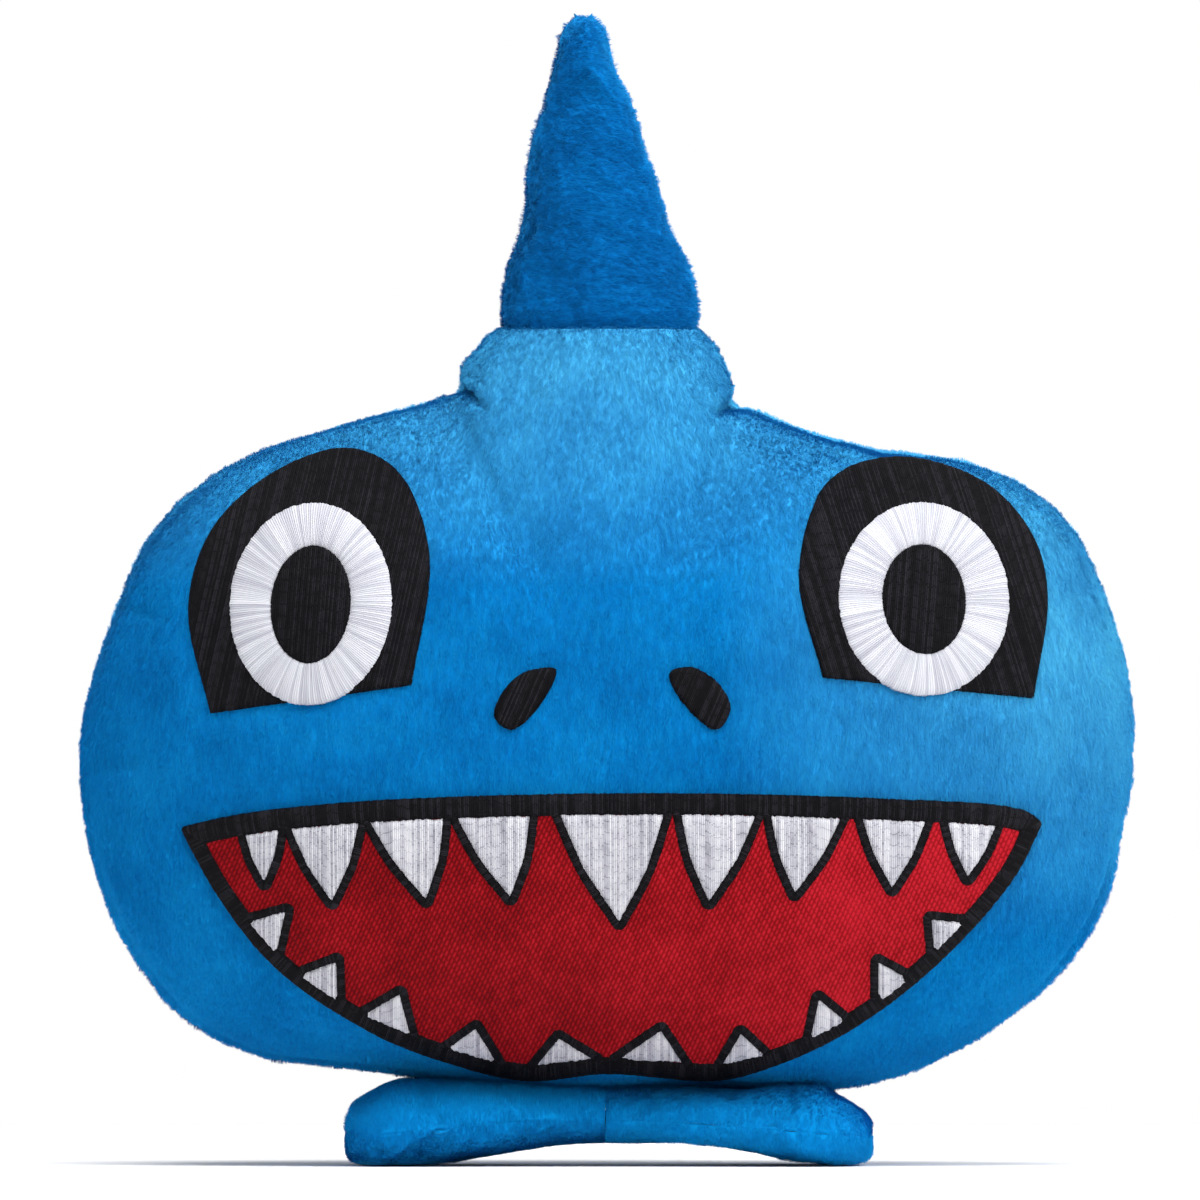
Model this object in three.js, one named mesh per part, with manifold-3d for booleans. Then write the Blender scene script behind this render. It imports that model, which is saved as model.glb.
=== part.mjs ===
// Plush shark. A pillow-shaped stuffed head with an embroidered face stands on a two-lobed base fin
// sewn under its chin, and a dorsal fin is sewn on its crown.
// Millimetres, +Z up, the face towards -Y, +X to the viewer's right. The origin is on the resting
// plane, under the middle of the head. Outer surfaces are the tips of the fabric's pile.
import * as THREE from "three";
import { mergeVertices } from "three/addons/utils/BufferGeometryUtils.js";
import Module from "manifold-3d";

const wasm = await Module();
wasm.setup();

// ---------------------------------------------------------------- driving dimensions, mm
const FABRIC = 1.8; // plush fabric with its pile
const GAP = 0.35; // clearance between pieces that touch
const STUFFING_GAP = 0.7; // clearance between the head's panels and its stuffing

const HEAD_CENTRE_Z = 92;
const FACE_DEPTH = 58; // from the seam plane to the foremost point of the face
const BACK_DEPTH = 58.8;
const CROWN_DEPTH_SHARE = 0.82; // depth of the crown over that of the face
const PILLOW_POWER = 2.6; // 2 is an ellipsoid, more is a flatter cushion with a fuller edge
const PILLOW_HALF_WIDTH = 115.5; // the plain cushion that the seam's outline departs from near its edge
const PILLOW_HALF_HEIGHT = 77;
const SEAM_INFLUENCE = 4; // how fast the cushion takes the seam's own outline: more keeps it to the edge
const CROWN_TOP_Z = 185.5; // the seam where the dorsal fin is sewn on

const DORSAL_SWING = 18; // degrees each way
const LOBE_DROOP = 25; // degrees
const LOBE_HINGE_Z = 15.5;

const PATCH_LAYER = [0.35, 0.95]; // heights of the mouth fabric above the plush
const STITCH_LAYER = [1.3, 2.1]; // heights of the embroidery on the mouth fabric
const EYE_LAYER = [0.35, 1.35];
const LABEL_LAYER = [0.5, 1.1];
const BORDER_TOP = 5;
const BORDER_SIDE = 3.9;
const TOOTH_OUTLINE = 1.9;
const TOOTH_ROOT_DROP = 5.3; // from the mouth's top edge to the roots of the upper teeth

// ---------------------------------------------------------------- outlines in the XZ plane, mm
// The seam around the head, from the middle of the crown over the right cheek to the chin and back
// up the left cheek. The crown's outline closes above the plane where the fin's seam cuts it off.
const HEAD_OUTLINE = [
  [0, 195], [14, 191], [22.5, 184], [27, 176], [28.5, 169.5], [34, 167.2], [47, 162], [60, 158.6],
  [76, 156], [91, 150.3], [102.5, 141], [109, 128], [114.3, 111], [115.5, 94], [113.5, 75],
  [110, 58], [101, 44], [86, 31.5], [66, 21.5], [48, 17.3], [24, 16.4], [0, 16], [-24, 16.6],
  [-46, 19.2], [-62, 22], [-79, 25.6], [-93, 33], [-103, 45], [-110.5, 60], [-114.4, 75],
  [-115.5, 90], [-112.5, 108], [-108, 122], [-101.5, 137], [-91.5, 148], [-78, 156.5], [-60, 163],
  [-39, 169.3], [-33, 171.5], [-31.2, 177], [-26, 184], [-15, 191],
];
const FRONT_RINGS = [0, 0.2, 0.4, 0.57, 0.71, 0.82, 0.905, 0.965, 1];

// The dorsal fin by height: left edge, right edge and half its depth.
const DORSAL_STATIONS = [
  { z: 184, left: -24, right: 21.6, depth: 16.4 },
  { z: 196, left: -22.4, right: 19.4, depth: 15.2 },
  { z: 209, left: -19.3, right: 14.6, depth: 13.4 },
  { z: 222, left: -17.2, right: 10.3, depth: 11.2 },
  { z: 234, left: -14.4, right: 6.4, depth: 9 },
  { z: 244, left: -12, right: 2.6, depth: 7 },
  { z: 251, left: -9.9, right: 0.8, depth: 4.6 },
  { z: 254.4, left: -7.2, right: -2.4, depth: 1.6 },
];

// One lobe of the base fin by distance from the centre seam: middle height, half its thickness and
// half its chord. The sole is cut flat where the lobe stands on the resting plane.
const LOBE_STATIONS = [
  { x: 0.3, z: 10.1, half: 5.2, chord: 26 },
  { x: 14, z: 9.9, half: 5.5, chord: 29 },
  { x: 28, z: 9.1, half: 6.4, chord: 33 },
  { x: 40, z: 8, half: 7.7, chord: 36 },
  { x: 49, z: 7.2, half: 8.3, chord: 35 },
  { x: 55.5, z: 7.2, half: 6.6, chord: 28 },
  { x: 58.9, z: 7.2, half: 2.4, chord: 14 },
];
const LEFT_REACH = 58.3 / 58.9; // the left lobe is a little shorter than the right one
const RIGHT_REACH = 60 / 58.9;

const MOUTH_TOP_EDGE = [
  [-93.5, 75], [-80, 78], [-53, 80.8], [-14, 82.3], [18, 82.5], [60, 81.4], [92, 78.8], [96.1, 76.1],
];
const RIGHT_LIP_CORNER = [95.5, 78.3]; // where the lips' inner edges would meet without rounding
const MOUTH_LOWER_EDGE = [
  [89.5, 63.5], [73, 45.1], [53.5, 30.3], [34, 21.7], [24, 19.7], [0.5, 21.2], [-17.5, 19.6],
  [-34, 23.4], [-53, 31], [-72.5, 44.2], [-85.5, 60.4],
];
// White of each upper tooth: left root, right root, then the tip.
const UPPER_TEETH = [
  [-79, -71.5, [-74.7, 63]],
  [-69, -54, [-60, 58.8]],
  [-51.7, -35.5, [-39.3, 59.1]],
  [-32.6, -16.5, [-20.9, 59.7]],
  [-10, 12.9, [3, 54.4]],
  [16.5, 33, [22.7, 58.8]],
  [36.2, 51.7, [41.5, 60.6]],
  [56.3, 70.2, [62.9, 61.7]],
  [74.9, 85.5, [79.3, 64.1]],
];
// White of each lower tooth: the two roots on the lip, then the tip.
const LOWER_TEETH = [
  [[-78, 54.6], [-72, 47.8], [-70, 56.8]],
  [[-67, 43], [-58.7, 37.6], [-59, 46]],
  [[-52.8, 34.5], [-43, 30.3], [-45.2, 38.9]],
  [[-34.4, 27.2], [-24.2, 24.3], [-28.6, 31.4]],
  [[-14.9, 23.6], [-3.2, 24.9], [-10.3, 29.2]],
  [[3.6, 25], [16.7, 24.3], [12.3, 31]],
  [[26, 23.8], [34.6, 25.8], [29.8, 30.3]],
  [[45, 29.2], [52.3, 33.2], [46.8, 37.8]],
  [[59.8, 36.9], [66.5, 42.2], [59.8, 45.8]],
  [[72, 48], [78.2, 54.4], [71.3, 55.1]],
];
const LEFT_EYE = {
  side: "left",
  surround: [
    [-86.8, 100], [-91.7, 123], [-86.8, 140], [-73.8, 152.4], [-57, 158.2], [-45.7, 153], [-38.7, 135],
    [-42.6, 106.2],
  ],
  centre: [-64.5, 123.7],
  ring: [17.7, 22],
  pupil: [8.4, 12.4],
};
const RIGHT_EYE = {
  side: "right",
  surround: [
    [47.7, 107.9], [42.5, 131], [49.2, 151], [64, 156.2], [83.5, 150.7], [94, 139], [97.2, 126],
    [94.1, 103.3],
  ],
  centre: [69.7, 124.8],
  ring: [18.6, 21],
  pupil: [8.8, 11.5],
};
const LEFT_NOSTRIL = [[-10.9, 109.6], [-18, 109], [-23.4, 103.5], [-24.4, 99], [-20.7, 96.4], [-15, 101]];
const RIGHT_NOSTRIL = [[14, 108.8], [18.5, 110.3], [25, 106.5], [27.5, 101], [24.4, 96.4], [17.4, 101.8]];

const LABEL_BOX = { left: 1, right: 29, low: 36, high: 54 };
const STITCHES = { low: 61.7, high: 105.7, pitch: 5.5, reach: 2.1, thread: 0.9 };

// ---------------------------------------------------------------- colours and finishes
const finishes = {
  plush: { color: 0x0a72bf, roughness: 1 },
  finPlush: { color: 0x0867ae, roughness: 1 },
  mouthFabric: { color: 0xb3202c, roughness: 0.8 },
  blackThread: { color: 0x1b1a1f, roughness: 0.45 },
  seamThread: { color: 0x0a5ea3, roughness: 0.6 },
  whiteThread: { color: 0xe2e2e8, roughness: 0.45 },
  fibre: { color: 0xf2f2ee, roughness: 1 },
  label: { color: 0xf4f4f2, roughness: 0.6 },
};
const materials = Object.fromEntries(
  Object.entries(finishes).map(([name, finish]) => [
    name,
    new THREE.MeshStandardMaterial({ ...finish, metalness: 0 }),
  ]),
);

// ---------------------------------------------------------------- solids from points
// A closed solid from points and triangles. Points that meet are joined, triangles that this
// collapses are dropped, and the faces are turned to point outwards.
function solidOf(positions, triangles) {
  const loose = new THREE.BufferGeometry();
  loose.setAttribute("position", new THREE.Float32BufferAttribute(positions, 3));
  loose.setIndex(triangles);
  const merged = mergeVertices(loose, 1e-4);
  const index = merged.index.array;
  const triVerts = [];
  for (let i = 0; i < index.length; i += 3) {
    const [a, b, c] = [index[i], index[i + 1], index[i + 2]];
    if (a !== b && b !== c && c !== a) triVerts.push(a, b, c);
  }
  const vertProperties = merged.attributes.position.array;
  const made = manifoldOf(vertProperties, triVerts);
  if (made.volume() > 0) return made;
  return manifoldOf(vertProperties, triVerts.reverse());
}

function manifoldOf(vertProperties, triVerts) {
  const mesh = new wasm.Mesh({ numProp: 3, vertProperties, triVerts: new Uint32Array(triVerts) });
  return new wasm.Manifold(mesh);
}

function solidOfGeometry(geometry) {
  const count = geometry.attributes.position.count;
  const index = geometry.index ? [...geometry.index.array] : [...Array(count).keys()];
  return solidOf([...geometry.attributes.position.array], index);
}

function geometryOfSolid(solid) {
  const { vertProperties, triVerts } = solid.getMesh();
  const geometry = new THREE.BufferGeometry();
  geometry.setAttribute("position", new THREE.BufferAttribute(vertProperties, 3));
  geometry.setIndex(new THREE.BufferAttribute(triVerts, 1));
  geometry.computeVertexNormals();
  return geometry;
}

// The solid between two matching grids of points, outer[row][column] and inner[row][column].
// A wrapped grid's last column joins its first.
function solidBetween(outer, inner, wrapped) {
  const rows = outer.length;
  const columns = outer[0].length;
  const lastColumn = wrapped ? columns : columns - 1;
  const out = (row, column) => row * columns + (column % columns);
  const into = (row, column) => rows * columns + out(row, column);
  const triangles = [];
  const quad = (a, b, c, d) => triangles.push(a, b, c, a, c, d);
  for (let row = 0; row < rows - 1; row++) {
    for (let column = 0; column < lastColumn; column++) {
      const next = column + 1;
      quad(out(row, column), out(row + 1, column), out(row + 1, next), out(row, next));
      quad(into(row, column), into(row, next), into(row + 1, next), into(row + 1, column));
    }
  }
  for (let column = 0; column < lastColumn; column++) {
    const next = column + 1;
    quad(out(rows - 1, column), into(rows - 1, column), into(rows - 1, next), out(rows - 1, next));
    quad(out(0, column), out(0, next), into(0, next), into(0, column));
  }
  for (let row = 0; row < rows - 1 && !wrapped; row++) {
    const end = columns - 1;
    quad(out(row, 0), into(row, 0), into(row + 1, 0), out(row + 1, 0));
    quad(out(row, end), out(row + 1, end), into(row + 1, end), into(row, end));
  }
  return solidOf([...outer.flat(2), ...inner.flat(2)], triangles);
}

// The solid inside a stack of rings of points, closed over its first and last ring.
function solidOfRings(rings) {
  const columns = rings[0].length;
  const at = (ring, column) => ring * columns + (column % columns);
  const triangles = [];
  for (let ring = 0; ring < rings.length - 1; ring++) {
    for (let column = 0; column < columns; column++) {
      const next = column + 1;
      triangles.push(at(ring, column), at(ring + 1, column), at(ring + 1, next));
      triangles.push(at(ring, column), at(ring + 1, next), at(ring, next));
    }
  }
  for (let column = 1; column < columns - 1; column++) {
    const last = rings.length - 1;
    triangles.push(at(0, 0), at(0, column), at(0, column + 1));
    triangles.push(at(last, 0), at(last, column + 1), at(last, column));
  }
  return solidOf(rings.flat(2), triangles);
}

// ---------------------------------------------------------------- outlines and prisms
function smoothLoop(points, steps) {
  const loop = points.map(([x, z]) => new THREE.Vector3(x, 0, z));
  const curve = new THREE.CatmullRomCurve3(loop, true, "centripetal");
  return curve.getPoints(points.length * steps).slice(0, -1).map((p) => [p.x, p.z]);
}

function smoothLine(points, steps) {
  const line = points.map(([x, z]) => new THREE.Vector3(x, 0, z));
  const curve = new THREE.CatmullRomCurve3(line, false, "centripetal");
  return curve.getPoints((points.length - 1) * steps).map((p) => [p.x, p.z]);
}

function ellipse([x, z], [halfWidth, halfHeight], grow, count) {
  return Array.from({ length: count }, (_, i) => {
    const turn = (i / count) * 2 * Math.PI;
    return [x + (halfWidth + grow) * Math.cos(turn), z + (halfHeight + grow) * Math.sin(turn)];
  });
}

function signedArea(points) {
  return points.reduce((sum, [x, z], i) => {
    const [nextX, nextZ] = points[(i + 1) % points.length];
    return sum + (x * nextZ - nextX * z) / 2;
  }, 0);
}

// The outline moved outwards by distanceAt(middle of each edge), or inwards where that is negative.
// A sharp corner that moves outwards is cut off past MITRE_LIMIT times the distance.
const MITRE_LIMIT = 2.2;
function offsetOutline(points, distanceAt) {
  const turn = Math.sign(signedArea(points));
  const edges = points.map(([x, z], i) => {
    const [nextX, nextZ] = points[(i + 1) % points.length];
    const length = Math.hypot(nextX - x, nextZ - z);
    const normal = [(turn * (nextZ - z)) / length, (-turn * (nextX - x)) / length];
    return { normal, distance: distanceAt((x + nextX) / 2, (z + nextZ) / 2) };
  });
  return points.flatMap(([x, z], i) => {
    const before = edges.at(i - 1);
    const after = edges[i];
    const [ax, az] = before.normal;
    const [bx, bz] = after.normal;
    const cross = ax * bz - az * bx;
    if (Math.abs(cross) < 0.02) return [[x + bx * after.distance, z + bz * after.distance]];
    const moveX = (before.distance * bz - after.distance * az) / cross;
    const moveZ = (after.distance * ax - before.distance * bx) / cross;
    const limit = MITRE_LIMIT * Math.abs(after.distance);
    if (after.distance < 0 || Math.hypot(moveX, moveZ) <= limit) return [[x + moveX, z + moveZ]];
    return [
      [x + (ax - az * turn) * before.distance, z + (az + ax * turn) * before.distance],
      [x + (bx + bz * turn) * after.distance, z + (bz - bx * turn) * after.distance],
    ];
  });
}

// A prism that stands on the XZ plane, reaching towards -Y (side -1) or +Y (side 1).
const PRISM_LENGTH = 90;
function prism(points, side = -1) {
  const shape = new THREE.Shape(points.map(([x, z]) => new THREE.Vector2(x, z)));
  const block = new THREE.ExtrudeGeometry(shape, { depth: PRISM_LENGTH, bevelEnabled: false });
  block.rotateX(Math.PI / 2);
  if (side > 0) block.translate(0, PRISM_LENGTH, 0);
  return solidOfGeometry(block);
}

// ---------------------------------------------------------------- the head
const SEAM = smoothLoop(HEAD_OUTLINE, 1);
const TOP_COLUMN = 0;
const CHIN_COLUMN = SEAM.findIndex(([x, z]) => Math.abs(x) < 1e-6 && z < HEAD_CENTRE_Z);

// How deep the pillow is at share ring of the way to one point of the seam, over its full depth: less
// near the crown than over the face.
function depthShare([x, z], ring) {
  const upward = (z - HEAD_CENTRE_Z) / Math.hypot(x, z - HEAD_CENTRE_Z);
  const crown = THREE.MathUtils.smoothstep(upward, 0.75, 1) * ring ** 2;
  return 1 - (1 - CROWN_DEPTH_SHARE) * crown;
}

// How far the plain cushion reaches from its middle in the direction of one point of the seam.
function plainReach(across, up) {
  const wide = Math.abs(across / PILLOW_HALF_WIDTH) ** PILLOW_POWER;
  const high = Math.abs(up / PILLOW_HALF_HEIGHT) ** PILLOW_POWER;
  return Math.hypot(across, up) / (wide + high) ** (1 / PILLOW_POWER);
}

// The point on the pillow at share ring of the way from its middle to the seam, raised by height
// above the fabric's pile. side is -1 on the face and 1 on the back.
function pillowPoint([x, z], ring, height, side, shiftX = 0) {
  const up = z - HEAD_CENTRE_Z;
  const seamReach = Math.hypot(x, up);
  const reach = THREE.MathUtils.lerp(plainReach(x, up), seamReach, ring ** SEAM_INFLUENCE) + height;
  const share = (ring * reach) / seamReach;
  const depth = (side < 0 ? FACE_DEPTH : BACK_DEPTH) * depthShare([x, z], ring) + height;
  const crowned = depth * Math.sqrt(Math.max(0, 1 - ring ** PILLOW_POWER));
  const y = side * Math.max(GAP / 2, crowned);
  return [x * share + shiftX, y, HEAD_CENTRE_Z + up * share];
}

function pillowGrid(columns, height, side, shiftX) {
  return FRONT_RINGS.map((ring) => columns.map((p) => pillowPoint(p, ring, height, side, shiftX)));
}

function block(low, high) {
  const size = high.map((value, i) => value - low[i]);
  const box = new THREE.BoxGeometry(...size);
  box.translate(...low.map((value, i) => value + size[i] / 2));
  return solidOfGeometry(box);
}

const FAR = 200;
const aboveCrown = (z) => block([-FAR, -FAR, z], [FAR, FAR, z + FAR]);

function headPanel(columns, side, wrapped, shiftX) {
  const outer = pillowGrid(columns, 0, side, shiftX);
  const inner = pillowGrid(columns, -FABRIC, side, shiftX);
  return solidBetween(outer, inner, wrapped).subtract(aboveCrown(CROWN_TOP_Z));
}

function headStuffing() {
  const depth = -FABRIC - STUFFING_GAP;
  const face = pillowGrid(SEAM, depth, -1);
  const back = pillowGrid(SEAM, depth, 1);
  return solidOfRings([...face, ...back.reverse()]).subtract(aboveCrown(CROWN_TOP_Z - GAP));
}

// A layer of cloth or thread that follows the pillow between two heights above the pile.
function layer([low, high], side) {
  return solidBetween(pillowGrid(SEAM, high, side), pillowGrid(SEAM, low, side), true);
}

// ---------------------------------------------------------------- the mouth
const mouthTop = smoothLine(MOUTH_TOP_EDGE, 2);
const mouthOutline = [
  ...mouthTop,
  ...smoothLine([MOUTH_TOP_EDGE.at(-1), ...MOUTH_LOWER_EDGE, MOUTH_TOP_EDGE[0]], 2).slice(1, -1),
];
const borderWidth = (x, z) => (z > 74 ? BORDER_TOP : BORDER_SIDE);

function mouthTopAt(x) {
  const after = Math.max(1, mouthTop.findIndex((p) => p[0] >= x));
  const [x0, z0] = mouthTop[after - 1];
  const [x1, z1] = mouthTop[after];
  return z0 + ((z1 - z0) * (x - x0)) / (x1 - x0);
}

function upperTooth([left, right, tip]) {
  const root = (x) => [x, mouthTopAt(x) - TOOTH_ROOT_DROP];
  return [root(left), bulge(root(left), tip, -1), tip, bulge(root(right), tip, 1), root(right)];
}

// The middle of a tooth's side, pushed out a little to the given side.
const TOOTH_BULGE = 0.05;
function bulge([x, z], [tipX, tipZ], side) {
  const push = side * TOOTH_BULGE * Math.hypot(tipX - x, tipZ - z);
  return [(x + tipX) / 2 + push, (z + tipZ) / 2];
}

const upperTeeth = UPPER_TEETH.map(upperTooth);
const allTeeth = [...upperTeeth, ...LOWER_TEETH];

function mouthPatch() {
  const cloth = offsetOutline(mouthOutline, () => -1.5);
  return prism(cloth).intersect(layer(PATCH_LAYER, -1));
}

// The satin border of the lips and the outlines of the teeth, one field of black stitches.
function mouthEmbroidery() {
  const corners = [...MOUTH_TOP_EDGE.slice(0, -2), RIGHT_LIP_CORNER, ...MOUTH_LOWER_EDGE];
  const opening = offsetOutline(corners, (x, z) => -borderWidth(x, z));
  let stitches = prism(mouthOutline).subtract(prism(opening));
  const lips = prism(offsetOutline(mouthOutline, () => -1));
  for (const tooth of allTeeth) {
    stitches = stitches.add(prism(offsetOutline(tooth, () => TOOTH_OUTLINE)).intersect(lips));
  }
  for (const tooth of allTeeth) stitches = stitches.subtract(prism(offsetOutline(tooth, () => GAP)));
  return stitches.intersect(layer(STITCH_LAYER, -1));
}

// ---------------------------------------------------------------- the eyes, nostrils and back
function eyeSolids({ surround, centre, ring, pupil }) {
  const eyeLayer = layer(EYE_LAYER, -1);
  const curve = smoothLine(surround, 3);
  const arch = prism(curve).subtract(prism(ellipse(centre, ring, GAP, 32)));
  const annulus = prism(ellipse(centre, ring, 0, 32)).subtract(prism(ellipse(centre, pupil, GAP, 24)));
  const disc = prism(ellipse(centre, pupil, 0, 24));
  return [arch, annulus, disc].map((solid) => solid.intersect(eyeLayer));
}

function nostril(points) {
  return prism(smoothLoop(points, 2)).intersect(layer(EYE_LAYER, -1));
}

function careLabel() {
  const { left, right, low, high } = LABEL_BOX;
  const outline = [[left, low], [right, low], [right, high], [left, high]];
  return prism(outline, 1).intersect(layer(LABEL_LAYER, 1));
}

// The zigzag of thread that closes the opening the head was stuffed through.
function closingStitches() {
  const { low, high, pitch, reach, thread } = STITCHES;
  const turns = Math.round((high - low) / pitch);
  const zigzag = Array.from({ length: 2 * turns + 1 }, (_, i) => [
    i % 2 ? reach : -reach,
    low + (i * pitch) / 2,
  ]);
  const wall = (shift) => [0, PRISM_LENGTH].map((y) => zigzag.map(([x, z]) => [x + shift, y, z]));
  return solidBetween(wall(thread), wall(-thread), false).intersect(layer(LABEL_LAYER, 1));
}

// ---------------------------------------------------------------- the dorsal fin
const ACROSS = 8;
const FIN_POWER = 2.3;
const rounded = (u, power) => Math.sqrt(Math.max(0, 1 - Math.abs(u) ** power));

// One row of points across the fin, inset from its surface. side is -1 in front and 1 behind.
function dorsalRow({ z, left, right, depth }, inset, side) {
  const middle = (left + right) / 2;
  const half = Math.max(0.4, (right - left) / 2 - inset);
  const thick = Math.max(0.3, depth - inset);
  return Array.from({ length: ACROSS + 1 }, (_, i) => {
    const u = -Math.cos((i / ACROSS) * Math.PI);
    const y = Math.max(GAP / 2, thick * rounded(u, FIN_POWER));
    return [middle + half * u, side * y, Math.min(z, DORSAL_STATIONS.at(-1).z - inset)];
  });
}

// What the fin's seam leaves free so that it can swing both ways over the crown.
function dorsalClearance() {
  const rise = FAR * Math.tan(THREE.MathUtils.degToRad(DORSAL_SWING + 1));
  const base = CROWN_TOP_Z + GAP;
  const outline = new THREE.Shape([
    new THREE.Vector2(-FAR, base - FAR),
    new THREE.Vector2(FAR, base - FAR),
    new THREE.Vector2(FAR, base + rise),
    new THREE.Vector2(0, base),
    new THREE.Vector2(-FAR, base + rise),
  ]);
  const wedge = new THREE.ExtrudeGeometry(outline, { depth: 2 * FAR, bevelEnabled: false });
  wedge.translate(0, 0, -FAR);
  wedge.rotateX(Math.PI / 2);
  wedge.rotateZ(Math.PI / 2);
  return solidOfGeometry(wedge);
}

function dorsalPanel(side) {
  const outer = DORSAL_STATIONS.map((station) => dorsalRow(station, 0, side));
  const inner = DORSAL_STATIONS.map((station) => dorsalRow(station, FABRIC, side));
  return solidBetween(outer, inner, false).subtract(dorsalClearance());
}

function dorsalStuffing() {
  const inset = FABRIC + GAP;
  const rings = DORSAL_STATIONS.slice(0, -1).map((station) => {
    const front = dorsalRow(station, inset, -1);
    const behind = dorsalRow(station, inset, 1).reverse();
    return [...front, ...behind];
  });
  return solidOfRings(rings).subtract(dorsalClearance());
}

// ---------------------------------------------------------------- the base fin
const LOBE_POWER = 3;

// One row of points along the lobe's chord. up is 1 over its middle plane and -1 under it.
function lobeRow({ x, z, half, chord }, inset, up, reach) {
  const deep = Math.max(1, chord - inset);
  const thick = Math.max(0.3, half - inset);
  const tip = LOBE_STATIONS.at(-1).x - inset;
  return Array.from({ length: ACROSS + 1 }, (_, i) => {
    const u = -Math.cos((i / ACROSS) * Math.PI);
    const rise = Math.max(GAP / 2, thick * rounded(u, LOBE_POWER));
    return [Math.min(x, tip) * reach, deep * u, z + up * rise];
  });
}

// The room between the lobes that lets both droop from the seam along their tops.
function lobeClearance() {
  const spread = (LOBE_HINGE_Z + FAR) * Math.tan(THREE.MathUtils.degToRad(LOBE_DROOP + 1));
  const outline = [[-GAP, LOBE_HINGE_Z], [GAP, LOBE_HINGE_Z], [spread, -FAR], [-spread, -FAR]];
  return prism(outline, 1).add(prism(outline, -1));
}

const underResting = block([-FAR, -FAR, -FAR], [FAR, FAR, 0]);

function lobePanel(up, reach) {
  const outer = LOBE_STATIONS.map((station) => lobeRow(station, 0, up, reach));
  const inner = LOBE_STATIONS.map((station) => lobeRow(station, FABRIC, up, reach));
  return solidBetween(outer, inner, false).subtract(lobeClearance()).subtract(underResting);
}

function lobeStuffing(reach) {
  const inset = FABRIC + GAP;
  const rings = LOBE_STATIONS.slice(0, -1).map((station) => {
    const over = lobeRow(station, inset, 1, reach);
    const under = lobeRow(station, inset, -1, reach).reverse();
    return [...over, ...under];
  });
  return solidOfRings(rings).subtract(lobeClearance());
}

// ---------------------------------------------------------------- the assembly
function piece(name, solid, material) {
  const mesh = new THREE.Mesh(geometryOfSolid(solid), materials[material]);
  mesh.name = name;
  return mesh;
}

function mouth() {
  const group = new THREE.Group();
  group.add(piece("mouth_patch", mouthPatch(), "mouthFabric"));
  group.add(piece("mouth_embroidery", mouthEmbroidery(), "blackThread"));
  const stitchLayer = layer(STITCH_LAYER, -1);
  const addTooth = (name, points) => {
    group.add(piece(name, prism(points).intersect(stitchLayer), "whiteThread"));
  };
  upperTeeth.forEach((points, i) => addTooth(`upper_tooth_${i + 1}`, points));
  LOWER_TEETH.forEach((points, i) => addTooth(`lower_tooth_${i + 1}`, points));
  return group;
}

function eye(design) {
  const [surround, ring, pupil] = eyeSolids(design);
  const group = new THREE.Group();
  group.add(piece(`${design.side}_eye_surround`, surround, "blackThread"));
  group.add(piece(`${design.side}_eye_ring`, ring, "whiteThread"));
  group.add(piece(`${design.side}_eye_pupil`, pupil, "blackThread"));
  return group;
}

function head() {
  const group = new THREE.Group();
  const rightHalf = SEAM.slice(TOP_COLUMN, CHIN_COLUMN + 1);
  const leftHalf = [...SEAM.slice(CHIN_COLUMN), SEAM[TOP_COLUMN]];
  group.add(piece("face_panel", headPanel(SEAM, -1, true), "plush"));
  group.add(piece("back_panel_left", headPanel(leftHalf, 1, false, -GAP / 2), "plush"));
  group.add(piece("back_panel_right", headPanel(rightHalf, 1, false, GAP / 2), "plush"));
  group.add(piece("head_stuffing", headStuffing(), "fibre"));
  group.add(piece("closing_stitches", closingStitches(), "seamThread"));
  group.add(piece("care_label", careLabel(), "label"));
  group.add(mouth(), eye(LEFT_EYE), eye(RIGHT_EYE));
  group.add(piece("left_nostril", nostril(LEFT_NOSTRIL), "blackThread"));
  group.add(piece("right_nostril", nostril(RIGHT_NOSTRIL), "blackThread"));
  return group;
}

function dorsalFin() {
  const group = new THREE.Group();
  group.add(piece("dorsal_fin_front_panel", dorsalPanel(-1), "finPlush"));
  group.add(piece("dorsal_fin_back_panel", dorsalPanel(1), "finPlush"));
  group.add(piece("dorsal_fin_stuffing", dorsalStuffing(), "fibre"));
  return group;
}

function baseFin(side, reach) {
  const group = new THREE.Group();
  group.add(piece(`${side}_base_fin_top_panel`, lobePanel(1, reach), "plush"));
  group.add(piece(`${side}_base_fin_sole_panel`, lobePanel(-1, reach), "plush"));
  group.add(piece(`${side}_base_fin_stuffing`, lobeStuffing(reach), "fibre"));
  return group;
}

const shark = new THREE.Group();
shark.add(head(), dorsalFin(), baseFin("left", -LEFT_REACH), baseFin("right", RIGHT_REACH));

export default shark;
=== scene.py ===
"""Plush shark: the looks of a stuffed, pillow-shaped shark head on a two-lobed base fin.

Outlines and heights are in millimetres in the part's own frame: +Z up, the face towards -Y, +X to the
viewer's right. They turn into metres only where a mesh is made.
"""

import math

import bpy
import numpy as np
from numpy.linalg import norm
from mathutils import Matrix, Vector, noise
from mathutils.bvhtree import BVHTree
from mathutils.geometry import delaunay_2d_cdt


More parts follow.
